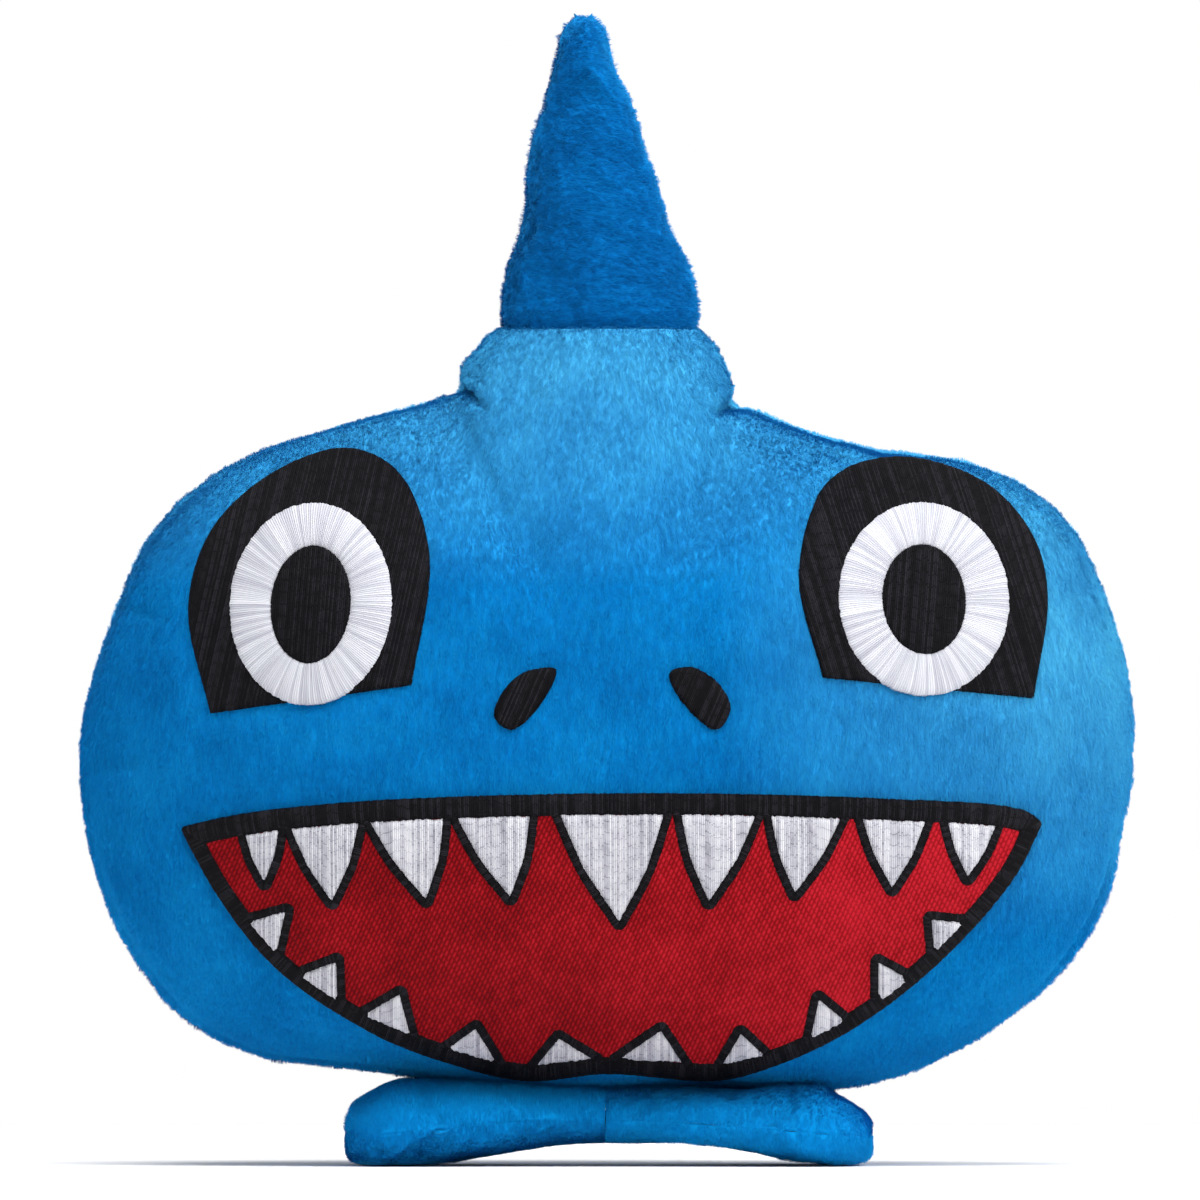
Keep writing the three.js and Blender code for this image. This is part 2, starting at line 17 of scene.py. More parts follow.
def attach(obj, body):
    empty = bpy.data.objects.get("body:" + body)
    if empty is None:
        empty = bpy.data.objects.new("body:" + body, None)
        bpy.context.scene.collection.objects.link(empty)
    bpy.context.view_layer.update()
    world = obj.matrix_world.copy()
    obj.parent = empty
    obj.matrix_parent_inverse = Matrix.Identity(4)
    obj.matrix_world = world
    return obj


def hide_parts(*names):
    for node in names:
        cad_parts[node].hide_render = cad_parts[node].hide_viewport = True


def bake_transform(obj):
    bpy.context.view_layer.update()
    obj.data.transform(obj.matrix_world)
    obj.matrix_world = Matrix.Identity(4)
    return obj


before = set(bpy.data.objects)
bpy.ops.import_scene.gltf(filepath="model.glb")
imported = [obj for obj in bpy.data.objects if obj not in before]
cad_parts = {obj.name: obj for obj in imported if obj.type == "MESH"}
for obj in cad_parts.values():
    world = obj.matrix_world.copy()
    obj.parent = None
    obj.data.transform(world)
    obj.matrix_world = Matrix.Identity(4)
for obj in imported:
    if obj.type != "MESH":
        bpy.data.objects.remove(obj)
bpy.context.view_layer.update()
MM = 0.001
rng = np.random.default_rng(7)

# -------- dimensions, as in the CAD part
HEAD_CENTRE_Z = 92
FACE_DEPTH = 58
BACK_DEPTH = 58.8
CROWN_DEPTH_SHARE = 0.82
PILLOW_POWER = 2.6
PILLOW_HALF_WIDTH = 115.5
PILLOW_HALF_HEIGHT = 77
SEAM_INFLUENCE = 4
CROWN_TOP_Z = 185.5
LOBE_HINGE_Z = 15.5
BORDER_TOP = 5
BORDER_SIDE = 3.9
TOOTH_OUTLINE = 1.9
TOOTH_ROOT_DROP = 5.3
TOOTH_TUCK = 0.6  # the teeth's roots run on under the border
TOOTH_BULGE = 0.05
FIN_POWER = 2.3
LOBE_POWER = 3

HEAD_OUTLINE = [
    (0, 195), (14, 191), (22.5, 184), (27, 176), (28.5, 169.5), (34, 167.2), (47, 162), (60, 158.6),
    (76, 156), (91, 150.3), (102.5, 141), (109, 128), (114.3, 111), (115.5, 94), (113.5, 75),
    (110, 58), (101, 44), (86, 31.5), (66, 21.5), (48, 17.3), (24, 16.4), (0, 16), (-24, 16.6),
    (-46, 19.2), (-62, 22), (-79, 25.6), (-93, 33), (-103, 45), (-110.5, 60), (-114.4, 75),
    (-115.5, 90), (-112.5, 108), (-108, 122), (-101.5, 137), (-91.5, 148), (-78, 156.5), (-60, 163),
    (-39, 169.3), (-33, 171.5), (-31.2, 177), (-26, 184), (-15, 191),
]
# The dorsal fin by height: left edge, right edge, half its depth.
DORSAL_STATIONS = [
    (184, -24, 21.6, 16.4), (196, -22.4, 19.4, 15.2), (209, -19.3, 14.6, 13.4), (222, -17.2, 10.3, 11.2),
    (234, -14.4, 6.4, 9), (244, -12, 2.6, 7), (251, -9.9, 0.8, 4.6), (254.4, -7.2, -2.4, 1.6),
]
# One lobe of the base fin by distance from the centre: middle height, half its thickness, half its chord.
LOBE_STATIONS = [
    (0.3, 10.1, 5.2, 26), (14, 9.9, 5.5, 29), (28, 9.1, 6.4, 33), (40, 8, 7.7, 36), (49, 7.2, 8.3, 35),
    (55.5, 7.2, 6.6, 28), (58.9, 7.2, 2.4, 14),
]
LEFT_REACH = 58.3 / 58.9
RIGHT_REACH = 60 / 58.9

MOUTH_TOP_EDGE = [
    (-93.5, 75), (-80, 78), (-53, 80.8), (-14, 82.3), (18, 82.5), (60, 81.4), (92, 78.8), (96.1, 76.1),
]
MOUTH_LOWER_EDGE = [
    (89.5, 63.5), (73, 45.1), (53.5, 30.3), (34, 21.7), (24, 19.7), (0.5, 21.2), (-17.5, 19.6),
    (-34, 23.4), (-53, 31), (-72.5, 44.2), (-85.5, 60.4),
]
UPPER_TEETH = [
    (-79, -71.5, (-74.7, 63)), (-69, -54, (-60, 58.8)), (-51.7, -35.5, (-39.3, 59.1)),
    (-32.6, -16.5, (-20.9, 59.7)), (-10, 12.9, (3, 54.4)), (16.5, 33, (22.7, 58.8)),
    (36.2, 51.7, (41.5, 60.6)), (56.3, 70.2, (62.9, 61.7)), (74.9, 85.5, (79.3, 64.1)),
]
LOWER_TEETH = [
    ((-78, 54.6), (-72, 47.8), (-70, 56.8)), ((-67, 43), (-58.7, 37.6), (-59, 46)),
    ((-52.8, 34.5), (-43, 30.3), (-45.2, 38.9)), ((-34.4, 27.2), (-24.2, 24.3), (-28.6, 31.4)),
    ((-14.9, 23.6), (-3.2, 24.9), (-10.3, 29.2)), ((3.6, 25), (16.7, 24.3), (12.3, 31)),
    ((26, 23.8), (34.6, 25.8), (29.8, 30.3)), ((45, 29.2), (52.3, 33.2), (46.8, 37.8)),
    ((59.8, 36.9), (66.5, 42.2), (59.8, 45.8)), ((72, 48), (78.2, 54.4), (71.3, 55.1)),
]
EYES = {
    "left": {
        "surround": [
            (-86.8, 100), (-91.7, 123), (-86.8, 140), (-73.8, 152.4), (-57, 158.2), (-45.7, 153),
            (-38.7, 135), (-42.6, 106.2),
        ],
        "centre": (-64.5, 123.7), "ring": (17.7, 22), "pupil": (8.4, 12.4), "lean": -5, "lay": (0.22, 0.97),
    },
    "right": {
        "surround": [
            (47.7, 107.9), (42.5, 131), (49.2, 151), (64, 156.2), (83.5, 150.7), (94, 139), (97.2, 126),
            (94.1, 103.3),
        ],
        "centre": (69.7, 124.8), "ring": (18.6, 21), "pupil": (8.8, 11.5), "lean": 5, "lay": (-0.3, 0.95),
    },
}
NOSTRILS = {
    "left": [(-10.9, 109.6), (-18, 109), (-23.4, 103.5), (-24.4, 99), (-20.7, 96.4), (-15, 101)],
    "right": [(14, 108.8), (18.5, 110.3), (25, 106.5), (27.5, 101), (24.4, 96.4), (17.4, 101.8)],
}
# Folds in the face's cloth: the line, how deep, how wide, and how high the ridge beside it.
CREASES = [
    ([(-36.5, 172.6), (-31, 171.8), (-27, 168)], 2.6, 1.3, 0.9),
    ([(-33.5, 175.4), (-29, 174.6), (-26, 172.5)], 1.1, 1.0, 0.3),
    ([(31, 168.6), (26.5, 168.2), (23.5, 165.5)], 1.7, 1.5, 0.4),
    ([(45, 157), (47, 150), (46, 144)], 0.6, 1.3, 0),
    ([(51, 159), (53.5, 153), (53, 148)], 0.5, 1.4, 0),
    ([(-116, 89), (-108, 88.5), (-101, 90)], 0.8, 2.0, 0),
    ([(-107, 125), (-101, 122), (-96, 121.5)], 0.9, 1.8, 0),
    ([(114, 71.5), (108, 73), (103, 73)], 0.9, 2.0, 0),
]
LABEL_LEFT, LABEL_RIGHT, LABEL_LOW, LABEL_HIGH = 1, 29, 36, 54
ZIGZAG_LOW, ZIGZAG_HIGH, ZIGZAG_PITCH, ZIGZAG_REACH = 61.7, 105.7, 5.5, 2.1

# -------- the cloth, in mm
SKIN_INSET = 0.9  # the woven back of the plush under the tips of its pile
FABRIC = 1.5
PILE_RISE = 0.7
PILE_LAY = 1.5
PILE_UNEVEN = 0.25
STRANDS_PER_MM2 = 9
STRAND_WIDTH = 0.15
CHILDREN = 20
THREAD = 0.42  # spacing of the embroidery's threads
RIB_PITCH = 0.86
FLOAT_LENGTH = 1.5
STITCH_LIFT = 0.85  # heights of the embroidery count from this far over the woven back
RIBBON_THICKNESS = 0.3
LOBE_SNUG = 2.8  # the top of the base fin is pressed up against the head
BASE_TOP = 19  # the plush is painted paler below this height: painted light on the base fin, which lies in the head's shade
FLOOR_GAP = 0.3  # the soles keep this far over the floor
CLOTH_STEPS = 20


# -------- curves and grids
def curve_through(points, steps, closed):
    """Points on a centripetal Catmull-Rom curve through the given ones."""
    p = np.array(points, float)
    if closed:
        run = np.vstack([p[-1:], p, p[:2]])
    else:
        run = np.vstack([2 * p[:1] - p[1:2], p, 2 * p[-1:] - p[-2:-1]])
    made = []
    for before, start, end, after in zip(run, run[1:], run[2:], run[3:]):
        spans = ((before, start), (start, end), (end, after))
        lead, own, trail = (max(1e-4, math.sqrt(norm(b - a))) for a, b in spans)
        leave = (start - before) / lead - (end - before) / (lead + own) + (end - start) / own
        arrive = (end - start) / own - (after - start) / (own + trail) + (after - end) / trail
        leave, arrive = leave * own, arrive * own
        for step in range(steps):
            t = step / steps
            made.append(
                (2 * t**3 - 3 * t**2 + 1) * start + (t**3 - 2 * t**2 + t) * leave
                + (3 * t**2 - 2 * t**3) * end + (t**3 - t**2) * arrive
            )
    if not closed:
        made.append(p[-1])
    return np.array(made)


def spaced(points, gap, closed):
    """The polyline's points again, at an even spacing close to gap."""
    p = np.array(points, float)
    if closed:
        p = np.vstack([p, p[:1]])
    along = np.concatenate([[0], np.cumsum(norm(np.diff(p, axis=0), axis=1))])
    count = max(4, int(round(along[-1] / gap)))
    at = np.linspace(0, along[-1], count + 1)
    if closed:
        at = at[:-1]
    return np.column_stack([np.interp(at, along, p[:, k]) for k in range(p.shape[1])])


def smoothstep(x, low, high):
    t = np.clip((x - low) / (high - low), 0, 1)
    return t * t * (3 - 2 * t)


def grid_faces(rows, columns, wrapped):
    """Quads over a grid of points, row by row. A wrapped grid's last column joins its first."""
    last = columns if wrapped else columns - 1
    row, column = np.meshgrid(np.arange(rows - 1), np.arange(last), indexing="ij")
    a = (row * columns + column).ravel()
    b = (row * columns + (column + 1) % columns).ravel()
    return np.column_stack([a, b, b + columns, a + columns])


def bell(x, width):
    return np.exp(-((x / width) ** 2))


def normals_of(verts, faces):
    """Unit normals at the points, from the triangles and quads around each."""
    quads = np.array([[*f, f[-1]][:4] for f in faces])
    corners = verts[quads]
    face_normals = np.cross(corners[:, 2] - corners[:, 0], corners[:, 3] - corners[:, 1])
    made = np.zeros_like(verts)
    for corner in quads.T:
        np.add.at(made, corner, face_normals)
    return made / np.maximum(1e-12, norm(made, axis=1, keepdims=True))


def rough(points, size, seed=0.0):
    """Smooth noise from -1 to 1 at each point, with features of about the given size in mm."""
    return np.array([noise.noise(Vector((x / size + seed, y / size, z / size - seed))) for x, y, z in points])


# -------- meshes and materials
def read(elements, name, kind=np.float32, size=1):
    """One property of all the mesh's elements, size numbers of each."""
    values = np.empty(len(elements) * size, kind)
    elements.foreach_get(name, values)
    return values


def configure(target, **values):
    for name, value in values.items():
        setattr(target, name, value)


def new_object(name, data):
    made = bpy.data.objects.new(name, data)
    bpy.context.scene.collection.objects.link(made)
    return made


def keep(mesh, name, values, domain="POINT"):
    """Keeps three numbers for each point or face corner of a mesh."""
    kept = mesh.attributes.new(name, "FLOAT_VECTOR", domain)
    kept.data.foreach_set("vector", values.astype(np.float32).ravel())


def mesh_piece(name, verts, faces, material, smooth=True):
    """A mesh object from points in mm, which keeps each point's place as the attribute cloth."""
    mesh = bpy.data.meshes.new(name)
    verts = np.asarray(verts, float)
    mesh.from_pydata((verts * MM).tolist(), [], [list(map(int, f)) for f in faces])
    mesh.polygons.foreach_set("use_smooth", [smooth] * len(mesh.polygons))
    keep(mesh, "cloth", verts)
    mesh.materials.append(material)
    mesh.update()
    return new_object(name, mesh)


def set_stitches(piece, across, along, lap=0.0):
    """Keeps where each face corner lies across and along the threads, in mm. lap is each point's
    length of a full turn in a closed band, so that the threads run on over the end of the turn."""
    mesh = piece.data
    corner_points = read(mesh.loops, "vertex_index", np.int32)
    starts = read(mesh.polygons, "loop_start", np.int32)
    sides = np.diff(np.append(starts, len(mesh.loops)))
    values = np.column_stack([across, along, np.zeros(len(across))])[corner_points]
    furthest = np.repeat(np.maximum.reduceat(values[:, 0], starts), sides)
    laps = (np.zeros(len(across)) + lap)[corner_points]
    values[:, 0] += np.where((laps > 0) & (furthest - values[:, 0] > laps / 2), laps, 0)
    keep(mesh, "stitch", values, "CORNER")


class Value:
    """What a node's socket gives. Arithmetic with it adds Math nodes."""

    def __init__(self, nodes, socket):
        self.nodes = nodes
        self.socket = socket

    def __add__(self, other):
        return self.nodes.math("ADD", self, other)

    def __mul__(self, other):
        return self.nodes.math("MULTIPLY", self, other)

    def __sub__(self, other):
        return self.nodes.math("SUBTRACT", self, other)

    def __rsub__(self, other):
        return self.nodes.math("SUBTRACT", other, self)

    def __truediv__(self, other):
        return self.nodes.math("DIVIDE", self, other)


class Nodes:
    """Short ways to build the nodes of a material or a world. A number is set on the socket itself."""

    def __init__(self, name, world=None):
        owner = world or bpy.data.materials.new(name)
        owner.use_nodes = True
        self.owner = owner
        self.tree = owner.node_tree
        self.shader = self.tree.nodes["Background" if world else "Principled BSDF"]

    def feed(self, socket, value):
        if isinstance(value, Value):
            self.tree.links.new(value.socket, socket)
        else:
            socket.default_value = value

    def add(self, kind, inputs=(), outputs=(0,), **settings):
        """A new node with its inputs fed in order or by name: the outputs asked for."""
        node = self.tree.nodes.new("ShaderNode" + kind)
        configure(node, **settings)
        for key, value in inputs.items() if isinstance(inputs, dict) else enumerate(inputs):
            self.feed(node.inputs[key], value)
        made = [Value(self, node.outputs[key]) for key in outputs]
        return made if len(made) > 1 else made[0]

    def math(self, operation, *inputs):
        return self.add("Math", inputs, operation=operation)

    def vector(self, operation, inputs):
        return self.add("VectorMath", inputs, ("Vector",), operation=operation)

    def attribute(self, name):
        return self.add("Attribute", outputs=("Vector",), attribute_name=name)

    def split(self, vector):
        return self.add("SeparateXYZ", (vector,), (0, 1, 2))

    def join(self, x, y):
        return self.add("CombineXYZ", (x, y, 0.0))

    def noise(self, vector, scale, detail, roughness):
        inputs = {"Vector": vector, "Scale": scale, "Detail": detail, "Roughness": roughness}
        return self.add("TexNoise", inputs, ("Fac",))

    def random(self, vector):
        return self.add("TexWhiteNoise", {"Vector": vector}, ("Value",), noise_dimensions="3D")

    def arches(self, value):
        return self.math("ABSOLUTE", self.math("SINE", value))

    def spread(self, value, low, high, to_low=0.0, to_high=1.0):
        return self.add("MapRange", (value, low, high, to_low, to_high), ("Result",))

    def mix(self, share, a, b):
        return self.add("Mix", {0: share, 6: a, 7: b}, (2,), data_type="RGBA")

    def either(self, share, a, b):
        return self.add("Mix", {0: share, 4: a, 5: b}, (1,), data_type="VECTOR")

    def shades(self, tone, colours, first, second):
        """The first colour turns into the second over the first range of tone, and so on."""
        dark, base, light = (colour(*c) for c in colours)
        low = self.mix(self.spread(tone, *first), dark, base)
        return self.mix(self.spread(tone, *second), low, light)

    def bump(self, height, depth, strength):
        inputs = {"Strength": strength, "Distance": depth * MM, "Height": height}
        self.feed(self.shader.inputs["Normal"], self.add("Bump", inputs, ("Normal",)))

    def set(self, **values):
        for name, value in values.items():
            self.feed(self.shader.inputs[name.replace("_", " ")], value)
        return self.owner


def colour(red, green, blue):
    """A linear colour from sRGB values of 0 to 255."""
    linear = [c / 255 / 12.92 if c <= 10 else ((c / 255 + 0.055) / 1.055) ** 2.4 for c in (red, green, blue)]
    return (*linear, 1.0)


def plush(name, colours, lay, pile_lie_and_highlight, sheen_reach, whole_toy):
    """Short pile brushed one way: streaks along the nap, darker roots and lighter tips, and a sheen. The
    darker roots are painted shade deep in the pile. The paler colour given after lay is a painted highlight
    laid over the pile: painted sheen within the given reach of the side seam, and where whole_toy is true
    also on the crown, partly the pile lying another way and partly painted light from the top lamp, and on
    the right cheek, painted light from the key lamp."""
    n = Nodes(name)
    is_strand, up_strand, own = n.add("HairInfo", outputs=("Is Strand", "Intercept", "Random"))
    strand_place = n.vector("SCALE", {"Vector": n.add("TexCoord", outputs=("Object",)), "Scale": 1 / MM})
    spot = n.either(is_strand, n.attribute("cloth"), strand_place)
    streaks = n.noise(n.vector("MULTIPLY", (spot, lay)), 0.95, 3, 0.6)
    patches = n.noise(spot, 0.05, 2, 0.5)
    tone = streaks * 0.55 + patches * 0.5
    # each strand a little lighter or darker at random, and painted darker at its root than at its tip, as
    # painted shade deep in the pile
    tone = tone + (own - 0.5) * 0.1 * is_strand + (up_strand - 0.45) * 0.18 * is_strand
    look = n.shades(tone, colours, (0.28, 0.55), (0.52, 0.86))
    x, y, z = n.split(spot)
    # painted sheen: the pile is painted paler within the given reach of the side seam, where it curves away
    seam_sheen_share = n.spread(n.math("ABSOLUTE", y), sheen_reach, sheen_reach * 0.2, 0, 0.5)
    lie_and_highlight_share = seam_sheen_share * n.spread(z, 95, 150)
    if whole_toy:
        # painted light on the right cheek, which faces the key lamp, and on the crown, which faces the top
        # lamp and whose pile partly lies another way
        right = n.spread(x, 25, 100, 0, 0.6) * n.spread(z, 50, 115)
        crown = n.spread(z, 128, 174, 0, 0.48)
        lie_and_highlight_share = n.math("MAXIMUM", n.math("MAXIMUM", right, crown), lie_and_highlight_share)
    # the painted highlight is laid over the pile's own colour and broken up by its streaks
    look = n.mix(lie_and_highlight_share * n.spread(streaks + patches, 0.7, 1.3, 0.6, 1.4), look, colour(*pile_lie_and_highlight))
    # painted light: the plush is painted paler below BASE_TOP, where the base fin lies in the head's shade
    look = n.mix(n.spread(z, BASE_TOP, BASE_TOP - 4, 0, 0.4), look, colour(4, 150, 220))
    n.bump(streaks, 0.5, 0.7)
    return n.set(
        Base_Color=look, Roughness=0.85, Specular_IOR_Level=0.04, Sheen_Weight=0.3,
        Sheen_Roughness=0.4, Sheen_Tint=colour(70, 205, 255),
    )


def thread(name, colours, stitch, gloss, ends):
    """Embroidery: thread lies beside thread, each a little lighter or darker, with the needle's holes where
    one stitch of the given length ends and the next begins. ends is how much they show. The holes and each
    thread's flanks are painted darker, as painted shade in the grooves between threads."""
    n = Nodes(name)
    across, along, _ = n.split(n.attribute("stitch"))
    count = across / THREAD
    beside = n.math("FRACT", count) * 2.0 - 1.0
    crest = 1.0 - beside * beside
    own = n.random(n.join(n.math("FLOOR", count), 3.0))
    clump = n.noise(n.join(across * 0.55, along * (0.09 + 0.35 * ends)), 1.0, 2, 0.5)
    run = n.math("FRACT", along / stitch + own)
    hole = n.spread(n.math("ABSOLUTE", run - 0.5), 0.42, 0.5) * ends
    # painted shade: darker at the needle's holes and on each thread's flanks, between the threads
    tone = own * 0.45 + clump * 0.55 - hole * 0.35 - n.spread(crest, 0.55, 0.0, 0.0, 0.25)
    n.bump(crest - hole, 0.14, 0.9)
    return n.set(
        Base_Color=n.shades(tone, colours, (0.05, 0.45), (0.45, 0.85)),
        Roughness=n.spread(own, 0, 1, gloss, gloss + 0.12), Specular_IOR_Level=0.05,
    )


def red_twill(name):
    """Woven fabric whose ribs lean to the right, broken into short floats, and painted lighter towards +X as
    painted light from the key lamp on the right.
    """
    n = Nodes(name)
    x, _, z = n.split(n.attribute("cloth"))
    lean = math.radians(24)
    beside = x * math.cos(lean) - z * math.sin(lean)
    along = x * math.sin(lean) + z * math.cos(lean)
    ribs = beside / RIB_PITCH
    row = n.math("FLOOR", ribs)
    floats = along / FLOAT_LENGTH + row * 0.38
    weave = n.arches(ribs * math.pi) * n.math("POWER", n.arches(floats * math.pi), 0.6)
    own = n.random(n.join(row, n.math("FLOOR", floats)))
    slubs = n.noise(n.attribute("cloth"), 0.07, 3, 0.55)
    # painted light: lighter towards +X, where the key lamp falls from the right
    tone = weave * 0.5 + slubs * 0.55 + own * 0.18 + n.spread(x, -20, 60, -0.1, 0.22)
    n.bump(weave, 0.3, 0.9)
    reds = (78, 3, 8), (118, 7, 14), (160, 22, 34)
    look = n.shades(tone, reds, (0.2, 0.6), (0.6, 1.05))
    return n.set(Base_Color=look, Roughness=0.8, Specular_IOR_Level=0.05)


def fibre(name):
    n = Nodes(name)
    tangle = n.noise(n.attribute("cloth"), 0.9, 5, 0.7)
    clouds = n.noise(n.attribute("cloth"), 0.08, 2, 0.5)
    n.bump(tangle, 1.2, 0.9)
    look = n.mix(tangle * 0.6 + clouds * 0.4, colour(214, 214, 208), colour(250, 250, 246))
    return n.set(Base_Color=look, Roughness=0.95)


def ribbon(name):
    """Blank satin ribbon with a woven grain and slightly yellowed folds."""
    n = Nodes(name)
    x, _, z = n.split(n.attribute("cloth"))
    grain = (n.arches(x * 9.0) + n.arches(z * 14.0)) * 0.5
    soil = n.noise(n.attribute("cloth"), 0.22, 3, 0.6)
    n.bump(grain, 0.05, 0.6)
    look = n.mix(grain * 0.25 + soil * 0.75, colour(226, 224, 214), colour(248, 248, 246))
    return n.set(Base_Color=look, Roughness=0.38)


BLUE = plush(
    "plush_blue", ((0, 92, 158), (0, 116, 183), (12, 140, 200)), lay=(1, 1, 0.3),
    # the paler colour is a painted highlight: painted sheen by the side seam, painted light on the crown and
    # the right cheek
    pile_lie_and_highlight=(80, 176, 210), sheen_reach=16, whole_toy=True,
)
BLUE_FIN = plush(
    "plush_fin", ((0, 68, 126), (0, 92, 158), (4, 118, 182)), lay=(0.3, 1, 1),
    # the paler colour is painted sheen along the fin's edges
    pile_lie_and_highlight=(30, 140, 205), sheen_reach=5, whole_toy=False,
)
BLACK = thread("black_thread", ((4, 4, 6), (12, 11, 14), (33, 32, 37)), stitch=2.6, gloss=0.6, ends=0.8)
WHITE = thread(
    "white_thread", ((140, 141, 152), (170, 171, 179), (194, 195, 201)), stitch=60, gloss=0.5, ends=0.0
)
TOOTH_WHITE = thread(
    "white_fill", ((104, 104, 114), (166, 166, 174), (196, 196, 200)), stitch=2.4, gloss=0.55, ends=0.7
)
SEAM_THREAD = thread(
    "seam_thread", ((0, 56, 120), (4, 90, 160), (30, 130, 200)), stitch=3, gloss=0.5, ends=0.3
)
RED = red_twill("mouth_fabric")
FIBRE = fibre("stuffing")
RIBBON = ribbon("label_satin")


# -------- the head's shape
def pillow_grid(columns, rings, inset, side):
    """Points on the pillow, one row a ring from its middle to the seam. side is -1 on the face."""
    x, z = columns[:, 0], columns[:, 1]
    up = z - HEAD_CENTRE_Z
    seam_reach = np.hypot(x, up)
    wide = np.abs(x / PILLOW_HALF_WIDTH) ** PILLOW_POWER
    high = np.abs(up / PILLOW_HALF_HEIGHT) ** PILLOW_POWER
    plain_reach = seam_reach / (wide + high) ** (1 / PILLOW_POWER)
    ring = rings[:, None]
    reach = plain_reach + (seam_reach - plain_reach) * ring**SEAM_INFLUENCE - inset
    share = ring * reach / seam_reach
    crown = smoothstep(up / seam_reach, 0.75, 1) * ring**2
    depth = (FACE_DEPTH if side < 0 else BACK_DEPTH) * (1 - (1 - CROWN_DEPTH_SHARE) * crown) - inset
    y = side * depth * np.sqrt(np.maximum(0, 1 - ring**PILLOW_POWER))
    return np.stack([x * share, y, HEAD_CENTRE_Z + up * share], axis=2)


def weld(verts, faces):
    """Joins points that meet: the joined points, the faces on them, and each old point's new number."""
    keys = np.round(verts, 3) + 0.0
    _, first, number = np.unique(keys, axis=0, return_index=True, return_inverse=True)
    number = number.ravel()
    joined = [list(dict.fromkeys(f)) for f in number[faces].tolist()]
    return verts[first], [f for f in joined if len(f) > 2], number


def inflate(verts, faces, pinned, cap, slack):
    """How far stuffing pushes each point of a closed cloth skin whose pinned points stay, in mm: never
    past cap, and slack is the share by which the cloth is cut larger than the pattern."""
    points, joined, number = weld(verts, faces)
    mesh = bpy.data.meshes.new("trial_skin")
    mesh.from_pydata((points * MM).tolist(), [], joined)
    skin = new_object("trial_skin", mesh)
    skin.vertex_groups.new(name="pin").add(np.unique(number[pinned]).tolist(), 1.0, "REPLACE")
    cloth = skin.modifiers.new("Cloth", "CLOTH")
    configure(
        cloth.settings, quality=6, mass=0.05, tension_stiffness=12, compression_stiffness=12,
        shear_stiffness=4, bending_stiffness=0.4, use_pressure=True, uniform_pressure_force=4,
        shrink_min=-slack, vertex_group_mass="pin",
    )
    cloth.settings.effector_weights.gravity = 0
    cloth.collision_settings.use_collision = False
    for step in range(1, CLOTH_STEPS + 1):
        bpy.context.scene.frame_set(step)
    after = skin.evaluated_get(bpy.context.evaluated_depsgraph_get()).data
    moved = read(after.vertices, "co", size=3).reshape(-1, 3) / MM - points
    bpy.context.scene.frame_set(1)
    bpy.data.objects.remove(skin)
    bpy.data.meshes.remove(mesh)
    length = np.maximum(1e-9, norm(moved, axis=1, keepdims=True))
    moved *= cap * np.tanh(length / cap) / length
    return moved[number]


def finer(field, rows, columns, wrapped):
    """A grid of vectors sampled again on a finer grid that spans the same rows and columns."""
    m, n, _ = field.shape
    row = np.linspace(0, m - 1, rows)
    column = np.arange(columns) * (n / columns) if wrapped else np.linspace(0, n - 1, columns)
    r0 = np.minimum(row.astype(int), m - 2)
    c0 = column.astype(int) if wrapped else np.minimum(column.astype(int), n - 2)
    r, c = (row - r0)[:, None, None], (column - c0)[None, :, None]
    c1 = (c0 + 1) % n
    return (
        field[np.ix_(r0, c0)] * (1 - r) * (1 - c) + field[np.ix_(r0 + 1, c0)] * r * (1 - c)
        + field[np.ix_(r0, c1)] * (1 - r) * c + field[np.ix_(r0 + 1, c1)] * r * c
    )


def distance_to(points, line, closed):
    """Distance in XZ from each point to a polyline, and how far along the line the nearest place is."""
    line = np.asarray(line, float)
    ends = np.roll(line, -1, axis=0) if closed else line[1:]
    starts = line if closed else line[:-1]
    edge = ends - starts
    length = np.maximum(1e-9, norm(edge, axis=1))
    begun = np.concatenate([[0], np.cumsum(length)[:-1]])
    nearest = np.full(len(points), 1e9)
    along = np.zeros(len(points))
    for chunk in range(0, len(points), 4000):
        part = points[chunk : chunk + 4000, None, :] - starts[None]
        t = np.clip((part * edge[None]).sum(2) / length**2, 0, 1)
        gap = norm(part - t[..., None] * edge[None], axis=2)
        best = gap.argmin(1)
        rows = np.arange(len(best))
        nearest[chunk : chunk + 4000] = gap[rows, best]
        along[chunk : chunk + 4000] = begun[best] + t[rows, best] * length[best]
    return nearest, along


def inside(points, loop):
    """Whether each XZ point lies within a closed outline."""
    x, z = points[:, 0], points[:, 1]
    within = np.zeros(len(points), bool)
    loop = np.asarray(loop, float)
    for (x0, z0), (x1, z1) in zip(loop, np.roll(loop, -1, axis=0)):
        if z0 == z1:
            continue
        crosses = (z0 > z) != (z1 > z)
        within ^= crosses & (x < (x1 - x0) * (z - z0) / (z1 - z0) + x0)
    return within


mouth_loop = np.vstack([
    curve_through(MOUTH_TOP_EDGE, 6, False),
    curve_through([MOUTH_TOP_EDGE[-1], *MOUTH_LOWER_EDGE, MOUTH_TOP_EDGE[0]], 6, False)[1:-1],
])
eye_loops = {side: curve_through(eye["surround"], 6, False) for side, eye in EYES.items()}
nostril_loops = {side: curve_through(points, 6, True) for side, points in NOSTRILS.items()}

COLUMN_STEPS = 8
RINGS = 60
COARSE = 3  # the trial skin takes every third column and ring
PUSH_PASSES = 6  # how often the push is evened out between neighbouring columns
columns = curve_through(HEAD_OUTLINE, COLUMN_STEPS, True)
rings = np.sin(np.linspace(0, math.pi / 2, RINGS + 1))
whole_faces = grid_faces(RINGS + 1, len(columns), True)


